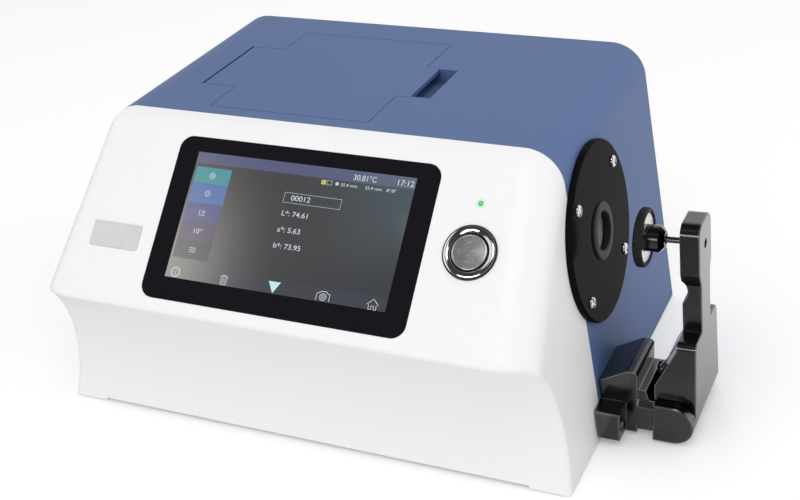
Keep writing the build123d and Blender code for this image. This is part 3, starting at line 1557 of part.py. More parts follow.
with BuildLine() as wire:
    point, way = on_coil(start_turn)
    leg = Line((leg_x, 0, cross_pin_r + wire_gap), (leg_x, 0, coil_start - bend_r * cos(lead)))
    TangentArc(leg @ 1, point, tangent=leg % 1)
    spans = 2 * spring_turns
    for span in range(spans):
        next_point, next_way = on_coil(start_turn + (end_turn - start_turn) * (span + 1) / spans)
        joint = biarc_joint(point, way, next_point, next_way)
        half = TangentArc(point, joint, tangent=way)
        TangentArc(joint, next_point, tangent=half % 1)
        point, way = next_point, next_way
    last = TangentArc(point, (leg_x, 0, spring_l - coil_start + bend_r * cos(lead)), tangent=way)
    Line(last @ 1, (leg_x, 0, spring_l - cross_pin_r - wire_gap))

path = wire.wires()[0]
steps = 24 * spring_turns
places = [path @ (step / steps) for step in range(steps + 1)]
turn_steps = steps // (2 * spring_turns)
least = min((a - b).length for i, a in enumerate(places) for b in places[i + turn_steps :]) - 2 * wire_r
print("holder_spring: least gap between turns", round(least, 2), "mm, wire", round(path.length, 1), "mm")

with BuildPart() as coil:
    with BuildSketch(Plane(path @ 0, x_dir=(1, 0, 0), z_dir=(0, 0, 1))):
        Circle(wire_r)
    sweep(path=path)

SPRING = Plane(anchor, x_dir=(0, 1, 0), z_dir=hook - anchor)
with BuildPart() as holder_spring:
    add(coil.part.moved(SPRING.location))
holder_spring.part.label = "holder_spring"
export_step(holder_spring.part, "parts/holder_spring.step")
print("holder_spring: volume over section times length", coil.part.volume / (pi * wire_r**2 * path.length))
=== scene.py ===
from math import cos, pi, radians, sin, tan

import bpy
from mathutils import Matrix, Vector


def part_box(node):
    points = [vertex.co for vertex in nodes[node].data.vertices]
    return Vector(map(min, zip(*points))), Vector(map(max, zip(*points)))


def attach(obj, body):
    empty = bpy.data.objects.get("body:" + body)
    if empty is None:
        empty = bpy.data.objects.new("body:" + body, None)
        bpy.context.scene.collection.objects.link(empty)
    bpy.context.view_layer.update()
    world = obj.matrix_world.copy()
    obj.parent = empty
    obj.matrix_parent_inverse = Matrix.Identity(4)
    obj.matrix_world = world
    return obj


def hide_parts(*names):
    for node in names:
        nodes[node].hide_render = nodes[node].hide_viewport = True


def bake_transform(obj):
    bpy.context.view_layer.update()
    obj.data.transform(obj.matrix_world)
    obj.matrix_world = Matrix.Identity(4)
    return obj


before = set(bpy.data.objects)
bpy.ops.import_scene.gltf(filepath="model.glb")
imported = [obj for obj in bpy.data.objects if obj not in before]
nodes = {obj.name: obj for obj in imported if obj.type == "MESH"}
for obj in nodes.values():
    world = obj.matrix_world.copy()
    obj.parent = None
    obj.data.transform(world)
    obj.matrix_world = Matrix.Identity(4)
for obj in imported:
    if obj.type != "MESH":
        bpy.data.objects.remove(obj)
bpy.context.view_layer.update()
bpy.ops.object.select_all(action="DESELECT")

# Studio: a white sweep in a white room whose ceiling and near side are dark in reflections, lit
# softly by four large boxes. The camera stands at the front right, a little above the object.
camera_at = Vector((0.3700, -0.7556, 0.5475))
camera_turn = (radians(61.475), radians(4.295), radians(23.812))
bpy.ops.object.camera_add(location=camera_at, rotation=camera_turn)
camera = bpy.context.object
camera.data.lens = 62.4
camera.data.sensor_width = 36.0
bpy.context.scene.camera = camera
bpy.context.scene.view_settings.view_transform = "Standard"


class Value:
    """What a shader node gives, so that shader maths can be written as sums and products."""

    def __init__(self, finish, socket):
        self.finish = finish
        self.socket = socket

    def maths(self, operation, *values):
        return self.finish.node("ShaderNodeMath", {"operation": operation}, dict(enumerate(values)))

    def __add__(self, other):
        return self.maths("ADD", self, other)

    def __sub__(self, other):
        return self.maths("SUBTRACT", self, other)

    def __rsub__(self, other):
        return self.maths("SUBTRACT", other, self)

    def __mul__(self, other):
        return self.maths("MULTIPLY", self, other)

    def __gt__(self, other):
        return self.maths("GREATER_THAN", self, other)

    def __lt__(self, other):
        return self.maths("LESS_THAN", self, other)

    def root(self):
        return self.maths("SQRT", self)

    def ease(self, low, high):
        """0 below a value and 1 above another, with a soft step between them."""
        inputs = {"Value": self, "From Min": low, "From Max": high}
        return self.finish.node("ShaderNodeMapRange", {"interpolation_type": "SMOOTHSTEP"}, inputs)

    __radd__ = __add__
    __rmul__ = __mul__


class Finish:
    """The nodes of a material, or of the sky, round one shader."""

    def __init__(
        self, name, colour=None, roughness=0.5, owner=None, shader="Principled BSDF", **settings
    ):
        self.material = owner or bpy.data.materials.new(name)
        self.material.use_nodes = True
        self.tree = self.material.node_tree
        self.shader = self.tree.nodes[shader]
        if colour:
            self.set("Base Color", (*colour, 1.0))
            self.set("Roughness", roughness)
        for setting, value in settings.items():
            self.set(setting.replace("_", " ").title().replace("Ior", "IOR"), value)

    def set(self, socket, value):
        self.feed(self.shader.inputs[socket], value)

    def feed(self, socket, value):
        if isinstance(value, Value):
            self.tree.links.new(value.socket, socket)
        else:
            socket.default_value = value

    def node(self, kind, settings=(), inputs=(), output=0):
        """Adds a node: first its settings, then the values or links of its sockets."""
        node = self.tree.nodes.new(kind)
        for name, value in dict(settings).items():
            setattr(node, name, value)
        for name, value in dict(inputs).items():
            self.feed(node.inputs[name], value)
        return Value(self, node.outputs[output])

    def place(self, shift=(0.0, 0.0, 0.0), turn=(0.0, 0.0, 0.0)):
        """The point of the object, in metres, on axes that are shifted and turned to a face of it."""
        point = self.node("ShaderNodeTexCoord", output="Object")
        inputs = {"Vector": point, "Location": shift, "Rotation": turn}
        return self.node("ShaderNodeMapping", {"vector_type": "TEXTURE"}, inputs)

    def axes(self, point):
        """The three parts of a point."""
        return [self.node("ShaderNodeSeparateXYZ", (), {0: point}, output=i) for i in range(3)]

    def rings(self, radius, rate):
        """Fine uneven rings about a turned piece's axis, about that many to a metre of its radius."""
        inputs = {"W": radius * rate, "Detail": 2.0}
        return self.node("ShaderNodeTexNoise", {"noise_dimensions": "1D"}, inputs)

    def noise(self, size, detail=2.0, stretch=None):
        """Cloudy noise whose spots are about that many metres across, drawn out along an axis."""
        point = self.place()
        if stretch:
            inputs = {"Vector": point, "Scale": stretch}
            point = self.node("ShaderNodeMapping", {"vector_type": "POINT"}, inputs)
        inputs = {"Vector": point, "Scale": 1.0 / size, "Detail": detail}
        return self.node("ShaderNodeTexNoise", (), inputs)

    def blend(self, share, first, second):
        """A colour between two, by a share from 0 to 1."""
        inputs = {0: share, 6: (*first, 1.0) if isinstance(first, tuple) else first}
        inputs[7] = (*second, 1.0) if isinstance(second, tuple) else second
        return self.node("ShaderNodeMix", {"data_type": "RGBA"}, inputs, output=2)

    def bump(self, height, depth):
        """Raises the surface by a height from 0 to 1, times a depth in metres."""
        self.set("Normal", self.node("ShaderNodeBump", (), {"Height": height, "Distance": depth}))

    def on(self, *names):
        """Gives this material to carried-over nodes."""
        for name in names:
            nodes[name].material_slots[0].material = self.material


room = bpy.data.worlds.new("white_room")
bpy.context.scene.world = room
sky = Finish("sky", owner=room, shader="Background")
room_light, bright_in_gloss, left_in_gloss, dark_in_gloss = 0.72, 0.94, 0.90, 0.05
right, back, high = sky.axes(sky.node("ShaderNodeTexCoord", output="Generated"))
bright_side = (right * 0.6 + back * 0.8 - high * 0.9).ease(-0.7, 0.2)
left_side = (right * -1.0).ease(0.68, 0.80)
glossy = sky.node("ShaderNodeLightPath", output="Is Glossy Ray")
seen = sky.node("ShaderNodeLightPath", output="Is Camera Ray")
through = sky.node("ShaderNodeLightPath", output="Is Transmission Ray")
in_gloss = bright_side * bright_in_gloss + left_side * left_in_gloss + dark_in_gloss
sky_glow = (1 - glossy) * room_light + glossy * in_gloss
sky.set("Color", (1.0, 1.0, 1.0, 1.0))
sky.set("Strength", sky_glow + (seen + through) * (1.0 - room_light))

bpy.ops.mesh.primitive_plane_add(size=12.0)
sweep = bpy.context.object
sweep.name = "sweep"
paper_white, paper_in_gloss = (0.86, 0.86, 0.86), (0.22, 0.22, 0.22)
seen_glow, far_glow = 0.22, 0.20
paper = Finish("white_paper", paper_white, 0.9)
right, back = paper.axes(paper.place())[:2]
far_right = (right * 0.7 + back * 0.7).ease(-0.1, 0.35)
glossy = paper.node("ShaderNodeLightPath", output="Is Glossy Ray")
seen = paper.node("ShaderNodeLightPath", output="Is Camera Ray")
paper.set("Base Color", paper.blend(glossy * (1 - far_right), paper_white, paper_in_gloss))
paper.set("Emission Color", (1.0, 1.0, 1.0, 1.0))
paper.set("Emission Strength", seen * seen_glow + glossy * far_right * far_glow)
sweep.data.materials.append(paper.material)


def soft_box(name, at, aim, width, height, watts, mirrored=False):
    """A rectangular lamp that faces a point of the object, and shows in gloss or only lights it."""
    bpy.ops.object.light_add(type="AREA", location=at)
    lamp = bpy.context.object
    lamp.name = name
    lamp.rotation_euler = (Vector(aim) - Vector(at)).to_track_quat("-Z", "Y").to_euler()
    lamp.data.shape = "RECTANGLE"
    lamp.data.size = width
    lamp.data.size_y = height
    lamp.data.energy = watts
    lamp.visible_glossy = mirrored


soft_box("top_box", (0.34, -0.80, 1.5), (0.0, -0.05, 0.1), 0.8, 0.6, 3.9, mirrored=True)
soft_box("back_box", (0.0, 0.6, 1.5), (0.0, 0.0, 0.1), 0.8, 0.6, 2.0)
soft_box("front_box", (-0.25, -1.9, 0.65), (0.0, -0.1, 0.05), 1.4, 0.3, 6.8, mirrored=True)
soft_box("right_box", (1.5, 0.3, 0.8), (0.1, 0.0, 0.1), 0.5, 1.2, 2.5)

# Covers: two moulded plastic shells, the white one round the control face and the blue one over
# the rest, with a lid in its top. Their skins are spark-eroded, the blue one coarser and duller.
moulded_white = (0.90, 0.90, 0.905)
cover_white = Finish("white_cover_plastic", moulded_white, 0.42)
fine = cover_white.noise(0.0006)
cover_white.bump(fine, 0.00002)
cover_white.set("Roughness", fine * 0.1 + 0.37)
cover_white.on("front_cover")

cover_blue = Finish("blue_cover_plastic", (0.079, 0.137, 0.311), 0.55)
grain = cover_blue.noise(0.0009, 3.0)
cover_blue.bump(grain, 0.00004)
cover_blue.set("Base Color", cover_blue.blend(grain, (0.068, 0.122, 0.285), (0.090, 0.152, 0.337)))
cover_blue.set("Roughness", grain * 0.16 + 0.46)
cover_blue.on("top_cover", "transmission_lid")

# Touch screen: a black-backed cover glass, let into the sloped face of the white cover. The picture
# is a thin lit sheet on it, with a bar across its top, five fading tabs and a darker strip below.
slope = radians(45.4)
slope_right = Vector((1.0, 0.0, 0.0))
slope_up = Vector((0.0, cos(slope), sin(slope)))
slope_out = Vector((0.0, -sin(slope), cos(slope)))
glass_low, glass_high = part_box("display_glass")
glass_thick = 0.0018
picture_raised = 0.00235
picture_w, picture_h, picture_thick = 0.1544, 0.0848, 0.00006
glass_mid = (Vector(glass_low) + Vector(glass_high)) / 2
picture_mid = glass_mid + slope_out * glass_thick / 2 + slope_up * picture_raised

glass_black = Finish("screen_cover_glass", (0.0088, 0.0084, 0.0115), 0.06, specular_ior_level=0.25)
smears = glass_black.noise(0.018, 4.0)
glass_black.set("Roughness", smears.ease(0.45, 0.75) * 0.10 + 0.05)
glass_black.on("display_glass")


def on_slope(right, up, lift):
    """The place of a piece made flat round the origin, in metres from the picture's middle."""
    turn = Matrix((slope_right, slope_up, slope_out)).transposed().to_4x4()
    middle = picture_mid + slope_right * right + slope_up * up + slope_out * lift
    return Matrix.Translation(middle) @ turn


def slope_axes(finish, right=0.0, up=0.0):
    """Right, up and out on the sloped face, from a point of it, for a pattern in a material."""
    return finish.axes(finish.place(tuple(on_slope(right, up, 0.0).translation), (slope, 0.0, 0.0)))


def distance(first, *others):
    """How far a point is from the middle of its axes."""
    return sum((other * other for other in others), first * first).root()


def finish_piece(piece, name, place, finish, body, slot, *replaced):
    """Names a piece, puts it in its place on its body, if it has one, and gives it its material."""
    piece.name = name
    piece.data.transform(place)
    piece.data.materials.clear()
    piece.data.materials.append(finish.material)
    if body:
        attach(piece, body)
    if replaced:
        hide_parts(*replaced)


def choose(pieces):
    """Selects these pieces and no others, with the first one active."""
    bpy.ops.object.select_all(action="DESELECT")
    for piece in pieces:
        piece.select_set(True)
    bpy.context.view_layer.objects.active = pieces[0]


def edit(piece, select="FACE"):
    """Opens a piece in edit mode, all of it selected."""
    choose([piece])
    bpy.ops.object.mode_set(mode="EDIT")
    bpy.ops.mesh.select_mode(type=select)
    bpy.ops.mesh.select_all(action="SELECT")


def leave_edit(sharp=30.0):
    """Closes edit mode, and shades the piece smooth but for its edges."""
    bpy.ops.object.mode_set(mode="OBJECT")
    bpy.ops.object.shade_smooth_by_angle(angle=radians(sharp))


def sheet_plate(width, height, thick):
    """A flat plate with eased edges, made of a plane that is pushed out and inset."""
    bpy.ops.mesh.primitive_plane_add(size=1.0)
    piece = bpy.context.object
    piece.data.transform(Matrix.Diagonal((width, height, 1.0, 1.0)))
    edit(piece)
    bpy.ops.mesh.extrude_region_move(TRANSFORM_OT_translate={"value": (0.0, 0.0, thick)})
    bpy.ops.mesh.inset(thickness=thick / 2)
    bpy.ops.transform.translate(value=(0.0, 0.0, thick / 4))
    bpy.ops.mesh.select_all(action="SELECT")
    bpy.ops.mesh.normals_make_consistent(inside=False)
    leave_edit()
    return piece


picture = Finish("lit_picture", (0.004, 0.004, 0.005), 0.12, specular_ior_level=0.1)
right, up = slope_axes(picture)[:2]
far_corner = (right * 0.9 + up * 0.5).ease(0.010, 0.090)
grey = picture.blend(far_corner, (0.066, 0.067, 0.069), (0.078, 0.098, 0.112))
picture_colour = picture.blend((right * 0.5 - up).ease(0.015, 0.075), grey, (0.050, 0.053, 0.060))
strip_top, bar_bottom, soft_edge = -0.0335, 0.0350, 0.0002
above_strip = up.ease(strip_top - soft_edge, strip_top + soft_edge)
picture_colour = picture.blend((1 - above_strip) * 0.45, picture_colour, (0.070, 0.072, 0.098))
bar = up.ease(bar_bottom - soft_edge, bar_bottom + soft_edge)
bar_colour = picture.blend(right.ease(0.0, 0.08), (0.112, 0.122, 0.235), (0.130, 0.155, 0.215))
picture_colour = picture.blend(bar * 0.85, picture_colour, bar_colour)
tab_left, tab_right = -0.0756, -0.0496
tab_column = (right > tab_left) * (right < tab_right)
tab_edges = (0.0325, 0.0217, 0.0085, -0.0041, -0.0166, -0.0291)
tab_colours = (
    (0.075, 0.330, 0.380), (0.110, 0.200, 0.500), (0.125, 0.125, 0.330),
    (0.150, 0.120, 0.220), (0.160, 0.135, 0.165),
)
tab_strengths = (0.95, 0.92, 0.85, 0.65, 0.35)
for top, bottom, colour, strength in zip(tab_edges, tab_edges[1:], tab_colours, tab_strengths):
    tab = tab_column * (up < top) * (up > bottom)
    picture_colour = picture.blend(tab * strength, picture_colour, colour)
# Painted glare: a pale warm reflection painted into the picture's light, strongest round its lower
# left corner and weaker over the tabs.
corner_right, corner_up, glare_reach = -0.085, -0.034, 0.105
painted_glare = 1 - distance(right - corner_right, (up - corner_up) * 0.8).ease(0.0, glare_reach)
over_tabs = tab_column * (up > tab_edges[-1]) * (up < tab_edges[0])
glare_share = painted_glare * painted_glare * (0.92 - over_tabs * 0.42)
picture_colour = picture.blend(glare_share, picture_colour, (0.40, 0.385, 0.365))
picture.set("Emission Color", picture_colour)
picture.set("Emission Strength", 1.0)
lit_sheet = sheet_plate(picture_w, picture_h, picture_thick)
finish_piece(lit_sheet, "screen_picture", on_slope(0.0, 0.0, 0.0), picture, "housing", "screen_glass")

# Figures and signs on the picture: readings, time, temperature and plain signs for what a key does,
# in thin white strokes. They are flat figures and drawn lines that shine just above the lit sheet.
sign_lift = 0.00012
stroke, fine_stroke = 0.00045, 0.0003
sign_flat = 0.12
figure_share, figure_weight = 0.7, 1 / 150


def lit_ink(name, colour):
    """The material of a sign that only shines."""
    ink = Finish(name, (0.02, 0.02, 0.02), 0.3, emission_strength=1.0)
    ink.set("Emission Color", (*colour, 1.0))
    return ink


sign_white = lit_ink("screen_white", (0.60, 0.64, 0.68))
sign_cyan = lit_ink("screen_cyan", (0.52, 0.80, 0.84))
sign_yellow = lit_ink("screen_yellow", (0.50, 0.48, 0.16))


def joined(pieces):
    """Joins pieces into the first of them."""
    choose(pieces)
    bpy.ops.object.join()
    return pieces[0]


def flatten(pieces, flat):
    """Turns text and curves into one mesh, pressed flat to a share of its height."""
    choose(pieces)
    bpy.ops.object.convert(target="MESH")
    piece = joined(pieces)
    piece.data.transform(Matrix.Diagonal((1.0, 1.0, flat, 1.0)))
    return piece


def figures(text, right, up, height, side="LEFT", wide=1.14):
    """Figures that start at, end at or stand round a point of the picture, given in millimetres."""
    bpy.ops.object.text_add()
    piece = bpy.context.object
    piece.data.body = text
    piece.data.size = height / 1000 / figure_share
    piece.data.offset = height / 1000 * figure_weight
    piece.data.align_x = side
    piece.data.align_y = "CENTER"
    bpy.ops.object.convert(target="MESH")
    spot = Matrix.Translation((right / 1000, up / 1000, 0.0))
    piece.data.transform(spot @ Matrix.Diagonal((wide, 1.0, 1.0, 1.0)))
    return piece


def line(points, closed=False, width=stroke):
    """A drawn line through points of the picture, given in millimetres."""
    curve = bpy.data.curves.new("line", "CURVE")
    curve.dimensions = "3D"
    curve.bevel_depth = width / 2
    curve.bevel_resolution = 1
    spline = curve.splines.new("POLY")
    spline.points.add(len(points) - 1)
    for point, (right, up) in zip(spline.points, points):
        point.co = (right / 1000, up / 1000, 0.0, 1.0)
    spline.use_cyclic_u = closed
    piece = bpy.data.objects.new("line", curve)
    bpy.context.collection.objects.link(piece)
    return piece


def ring(right, up, radius, width=stroke):
    """A drawn circle round a point of the picture, in millimetres."""
    turns = [step * pi / 16 for step in range(32)]
    circle = [(right + radius * cos(turn), up + radius * sin(turn)) for turn in turns]
    return line(circle, closed=True, width=width)


def sign(at, *shapes, width=stroke):
    """Drawn lines through points that are counted from a sign's own middle."""
    return [line([(at[0] + x, at[1] + u) for x, u in shape], width=width) for shape in shapes]


def flat_signs(name, pieces, finish):
    """Puts figures or signs on the picture as one piece."""
    piece = flatten(pieces, sign_flat)
    finish_piece(piece, name, on_slope(0.0, 0.0, sign_lift), finish, "housing", "screen_glass")


readings = [
    figures("30.81°C", 43.4, 37.9, 3.6, "CENTER", 0.95),
    figures("17:12", 70.5, 38.0, 3.8, "CENTER", 1.0),
    figures("00012", -3.4, 19.5, 3.4), figures("L*: 74.61", -7.2, 9.1, 3.3),
    figures("a*: 5.63", -7.2, -1.5, 3.3), figures("b*: 73.95", -7.2, -12.0, 3.3),
    figures("10°", -62.6, -10.4, 3.3, "CENTER"), figures("25.4 mm", 27.9, 32.3, 2.0),
    figures("25.4 mm", 44.6, 32.3, 2.0), figures("8°/8°", 59.2, 32.3, 2.0),
]
flat_signs("screen_figures", readings, sign_white)

field = [(-8.2, 22.8), (31.5, 22.8), (31.5, 16.3), (-8.2, 16.3)]
signs = [line(field, closed=True, width=fine_stroke)]
back_at, bin_at, lens_at, house_at = (-70.2, -38.6), (-34.7, -38.9), (35.0, -39.1), (68.3, -39.0)
signs += [ring(*back_at, 3.0, width=0.0007)] + sign(back_at, [(0.8, 1.6), (-1.0, 0.0), (0.8, -1.6)])
bin_lid = [(-2.6, 2.2), (2.6, 2.2)]
bin_handle = [(-0.9, 2.3), (-0.9, 3.1), (0.9, 3.1), (0.9, 2.3)]
bin_body = [(-2.1, 1.9), (-1.8, -3.0), (1.8, -3.0), (2.1, 1.9)]
bin_slots = [[(x, 1.2), (x, -2.2)] for x in (-0.9, 0.0, 0.9)]
signs += sign(bin_at, bin_lid, bin_handle, bin_body) + sign(bin_at, *bin_slots, width=fine_stroke)
camera_body = [
    (-4.4, -2.6), (-4.4, 1.6), (-3.0, 2.0), (-1.8, 3.2),
    (1.8, 3.2), (3.0, 2.0), (4.4, 1.6), (4.4, -2.6),
]
signs += sign(lens_at, camera_body)
signs += [ring(lens_at[0], lens_at[1] - 0.3, radius) for radius in (2.1, 0.9)]
roof = [(-3.8, -0.2), (0.0, 3.4), (3.8, -0.2)]
walls = [
    (-2.5, -0.4), (-2.5, -3.2), (-0.9, -3.2), (-0.9, -1.0),
    (0.9, -1.0), (0.9, -3.2), (2.5, -3.2), (2.5, -0.4),
]
signs += sign(house_at, roof, walls)
ring_at, lamp_at, axes_at, list_at = [(-62.6, height) for height in (27.1, 15.1, 2.2, -22.9)]
signs += [ring(*ring_at, 1.9), ring(*ring_at, 0.6), ring(*lamp_at, 1.2)]
turns = [step * pi / 4 for step in range(8)]
rays = [[(reach * cos(turn), reach * sin(turn)) for reach in (1.8, 2.5)] for turn in turns]
signs += sign(lamp_at, *rays)
signs += sign(axes_at, [(-2.2, -1.7), (-2.2, 2.0)], [(-2.2, -1.7), (2.2, -1.7)])
signs += [ring(axes_at[0] + 0.6, axes_at[1] + 0.5, 0.9)]
signs += sign(list_at, *[[(-2.4, height), (2.4, height)] for height in (1.3, 0.0, -1.3)])
small_box = [(18.6, 34.0), (22.0, 34.0), (22.0, 31.2), (18.6, 31.2)]
signs += [line(small_box, closed=True, width=fine_stroke), ring(25.5, 32.5, 0.7, width=0.0009)]
flat_signs("screen_signs", signs, sign_white)

sign_thick, arrow_r, arrow_edge = 0.00004, 0.0049, 0.0004
bpy.ops.mesh.primitive_circle_add(vertices=3, radius=arrow_r, fill_type="NGON")
arrow = bpy.context.object
edit(arrow)
bpy.ops.mesh.extrude_region_move(TRANSFORM_OT_translate={"value": (0.0, 0.0, sign_thick)})
bpy.ops.mesh.inset(thickness=arrow_edge)
leave_edit()
arrow.data.transform(Matrix.Rotation(pi, 4, "Z"))
arrow_place = on_slope(0.0007, -0.0372, sign_lift)
finish_piece(arrow, "screen_arrow", arrow_place, sign_cyan, "housing", "screen_glass")

yellow_mark = sheet_plate(0.0032, 0.0030, sign_thick)
mark_place = on_slope(0.0162, 0.0325, sign_lift)
finish_piece(yellow_mark, "screen_mark", mark_place, sign_yellow, "housing", "screen_glass")

# Push button: a turned and chromed ring round a domed cap of spun steel, screwed into the sloped
# face on a black rubber gasket. The ring's top slopes in, and the cap has a turned line at its edge.
button_right, button_up = 0.1210, 0.0010
face_lift = -0.0002


def turned(profile, steps=128):
    """A piece turned on a lathe: circles at the profile's radii and heights, in millimetres."""
    radius, height = profile[0]
    bpy.ops.mesh.primitive_circle_add(vertices=steps, radius=radius / 1000, fill_type="NOTHING")
    piece = bpy.context.object
    piece.data.transform(Matrix.Translation((0.0, 0.0, height / 1000)))
    edit(piece, "VERT")
    for next_radius, next_height in profile[1:]:
        rise = (0.0, 0.0, (next_height - height) / 1000)
        bpy.ops.mesh.extrude_region_move(TRANSFORM_OT_translate={"value": rise})
        if next_radius > 0:
            size = next_radius / radius
            middle = (0.0, 0.0, next_height / 1000)
            bpy.ops.transform.resize(value=(size, size, 1.0), center_override=middle)
        else:
            bpy.ops.mesh.merge(type="CENTER")
        radius, height = next_radius, next_height
    bpy.ops.mesh.select_all(action="SELECT")
    bpy.ops.mesh.remove_doubles(threshold=0.000001)
    bpy.ops.mesh.fill_holes(sides=0)
    bpy.ops.mesh.normals_make_consistent(inside=False)
    leave_edit()
    return piece


chrome = Finish("chrome", (0.78, 0.78, 0.80), 0.07, metallic=1.0)
chrome.set("Roughness", chrome.noise(0.004, 3.0).ease(0.3, 0.8) * 0.08 + 0.05)
ring_profile = [
    (13.4, -1.0), (16.2, -1.0), (16.2, 1.2), (16.1, 1.45), (15.8, 1.66), (14.8, 2.02), (14.45, 2.08),
    (14.15, 2.03), (13.9, 1.93), (12.5, 1.42), (12.2, 1.2), (12.05, 0.8), (11.95, -1.0), (13.4, -1.0),
]
button_ring = turned(ring_profile)
button_place = on_slope(button_right, button_up, face_lift)
finish_piece(
    button_ring, "button_ring", button_place, chrome, "housing", "bright_ring", "button_bezel"
)

gasket_profile = [
    (16.2, -0.9), (17.0, -0.9), (17.1, -0.6), (17.1, 0.7), (16.98, 0.93), (16.7, 1.02), (16.2, 1.02),
    (16.2, -0.9),
]
gasket_rubber = Finish("gasket_rubber", (0.012, 0.012, 0.012), 0.55)
gasket_rubber.set("Roughness", gasket_rubber.noise(0.0010, 3.0) * 0.2 + 0.42)
button_gasket = turned(gasket_profile)
finish_piece(button_gasket, "button_gasket", button_place, gasket_rubber, "housing", "bright_ring")

spun_steel = Finish("spun_steel", (0.60, 0.60, 0.605), 0.30, metallic=0.9)
right, up = slope_axes(spun_steel, button_right, button_up)[:2]
streaks = spun_steel.rings(distance(right, up), 2600)
spun_steel.bump(streaks, 0.000025)
spun_steel.set("Roughness", streaks * 0.14 + 0.24)
clouds = spun_steel.noise(0.006, 2.0)
spun_steel.set("Base Color", spun_steel.blend(clouds, (0.55, 0.555, 0.57), (0.64, 0.64, 0.635)))
cap_profile = [
    (10.6, -0.8), (11.0, -0.4), (11.0, 1.9), (10.85, 2.15), (10.5, 2.28), (10.1, 2.32), (9.95, 2.24),
    (9.8, 2.24), (9.65, 2.36), (7.5, 2.52), (5.0, 2.65), (2.5, 2.73), (0.0, 2.76),
]
button_top = turned(cap_profile)
finish_piece(
    button_top, "button_top", button_place, spun_steel, "button", "brushed_cap", "button_cap"
)

# Status light: a small domed lens of clear green plastic over a lamp, pushed through the white
# cover from behind. Its light in the plastic round it is painted into the cover's colour.
light_right, light_up = 0.1208, 0.0318
lens_green = Finish("lens_green", (0.05, 0.55, 0.12), 0.2, emission_strength=0.28, coat_weight=0.5)
right, up = slope_axes(lens_green, light_right, light_up)[:2]
core = 1 - distance(right, up).ease(0.0002, 0.0015)
lens_green.set("Emission Color", lens_green.blend(core, (0.02, 0.42, 0.09), (0.16, 0.72, 0.26)))
lens_green.on("status_led")
# Painted glow: the lamp's green light in the white plastic round the lens, painted as a green tint
# into the cover's base colour.
painted_glow = 1 - distance(*slope_axes(cover_white, light_right, light_up)).ease(0.0010, 0.0046)
cover_white.set("Base Color", cover_white.blend(painted_glow * 0.55, moulded_white, (0.36, 0.86, 0.46)))

# Name plate: a small die-cast plate with a raised rim round a sunk field, satin and left bare.
# It is glued into a shallow recess at the left of the screen.
name_right, name_up, name_w, name_h = -0.12175, -0.0209, 0.0370, 0.0170
name_corner, name_thick, name_sunk = 0.0014, 0.0009, 0.0006
edge_w, edge_rise = 0.00025, 0.0001
rim_w, rim_slope_w, field_drop = 0.0007, 0.0002, 0.0003
bpy.ops.mesh.primitive_plane_add(size=1.0)
plate = bpy.context.object
plate.data.transform(Matrix.Diagonal((name_w, name_h, 1.0, 1.0)))
edit(plate)
bpy.ops.mesh.bevel(affect="VERTICES", offset=name_corner, segments=5)
bpy.ops.mesh.extrude_region_move(TRANSFORM_OT_translate={"value": (0.0, 0.0, name_thick)})
bpy.ops.mesh.inset(thickness=edge_w)
bpy.ops.transform.translate(value=(0.0, 0.0, edge_rise))
bpy.ops.mesh.inset(thickness=rim_w)
bpy.ops.mesh.inset(thickness=rim_slope_w)
bpy.ops.transform.translate(value=(0.0, 0.0, -field_drop))
bpy.ops.mesh.select_all(action="SELECT")
bpy.ops.mesh.normals_make_consistent(inside=False)
leave_edit()
satin_metal = Finish("satin_plate_metal", (0.72, 0.72, 0.725), 0.34, metallic=0.15)
sheen = satin_metal.noise(0.0008, 3.0, (1.0, 12.0, 12.0))
clouding = satin_metal.noise(0.012)
satin_metal.set("Base Color", satin_metal.blend(clouding, (0.69, 0.69, 0.695), (0.81, 0.81, 0.815)))
satin_metal.set("Roughness", sheen * 0.16 + 0.28)
satin_metal.bump(sheen, 0.00001)
name_place = on_slope(name_right, name_up, face_lift - name_sunk)
finish_piece(plate, "name_badge", name_place, satin_metal, "housing", "plate_metal", "name_plate")

# Measuring port: a polished black disc on the drafted side wall, with a matt insert round the
# aperture. Four bright button-head screws with a hex socket hold it to the cover behind.
draft = radians(7.3)
port_mid = Vector((0.13953, 0.0, 0.1270))
port_out = Vector((cos(draft), 0.0, sin(draft)))
port_up = Vector((-sin(draft), 0.0, cos(draft)))
port_thick = 0.0040


def on_port(back, up, lift):
    """The place of a piece made flat round the origin, from the middle of the port, in metres."""
    turn = Matrix((Vector((0.0, 1.0, 0.0)), port_up, port_out)).transposed().to_4x4()
    middle = port_mid + Vector((0.0, back, 0.0)) + port_up * up + port_out * lift
    return Matrix.Translation(middle) @ turn


port_gloss = Finish("port_gloss_black", (0.006, 0.006, 0.0065), 0.12, specular_ior_level=0.008)
port_gloss.set("Roughness", port_gloss.noise(0.012, 4.0).ease(0.45, 0.8) * 0.12 + 0.10)
port_gloss.on("port_plate")
insert_matt = Finish("insert_matt_black", (0.012, 0.012, 0.012), 0.55)
insert_matt.bump(insert_matt.noise(0.0005, 3.0), 0.00002)
insert_matt.on("aperture_ring")

screw_chrome = Finish("screw_chrome", (0.76, 0.76, 0.78), 0.14, metallic=1.0)
scratches = screw_chrome.noise(0.0007, 4.0)
screw_chrome.set("Roughness", scratches * 0.14 + 0.08)
screw_chrome.bump(scratches, 0.00001)
head_profile = [
    (3.7, 0.0), (4.0, 0.12), (4.0, 0.55), (3.8, 1.05), (3.4, 1.5), (2.8, 1.88), (2.2, 2.1),
    (0.0, 2.2),
]


def trim(piece, tool, operation="DIFFERENCE"):
    """Cuts a piece with a tool, which is then thrown away."""
    cut = piece.modifiers.new("cut", "BOOLEAN")
    cut.operation = operation
    cut.object = tool
    cut.solver = "EXACT"
    choose([piece])
    bpy.ops.object.modifier_apply(modifier="cut")
    bpy.data.objects.remove(tool)
    bpy.ops.object.shade_smooth_by_angle(angle=radians(30))


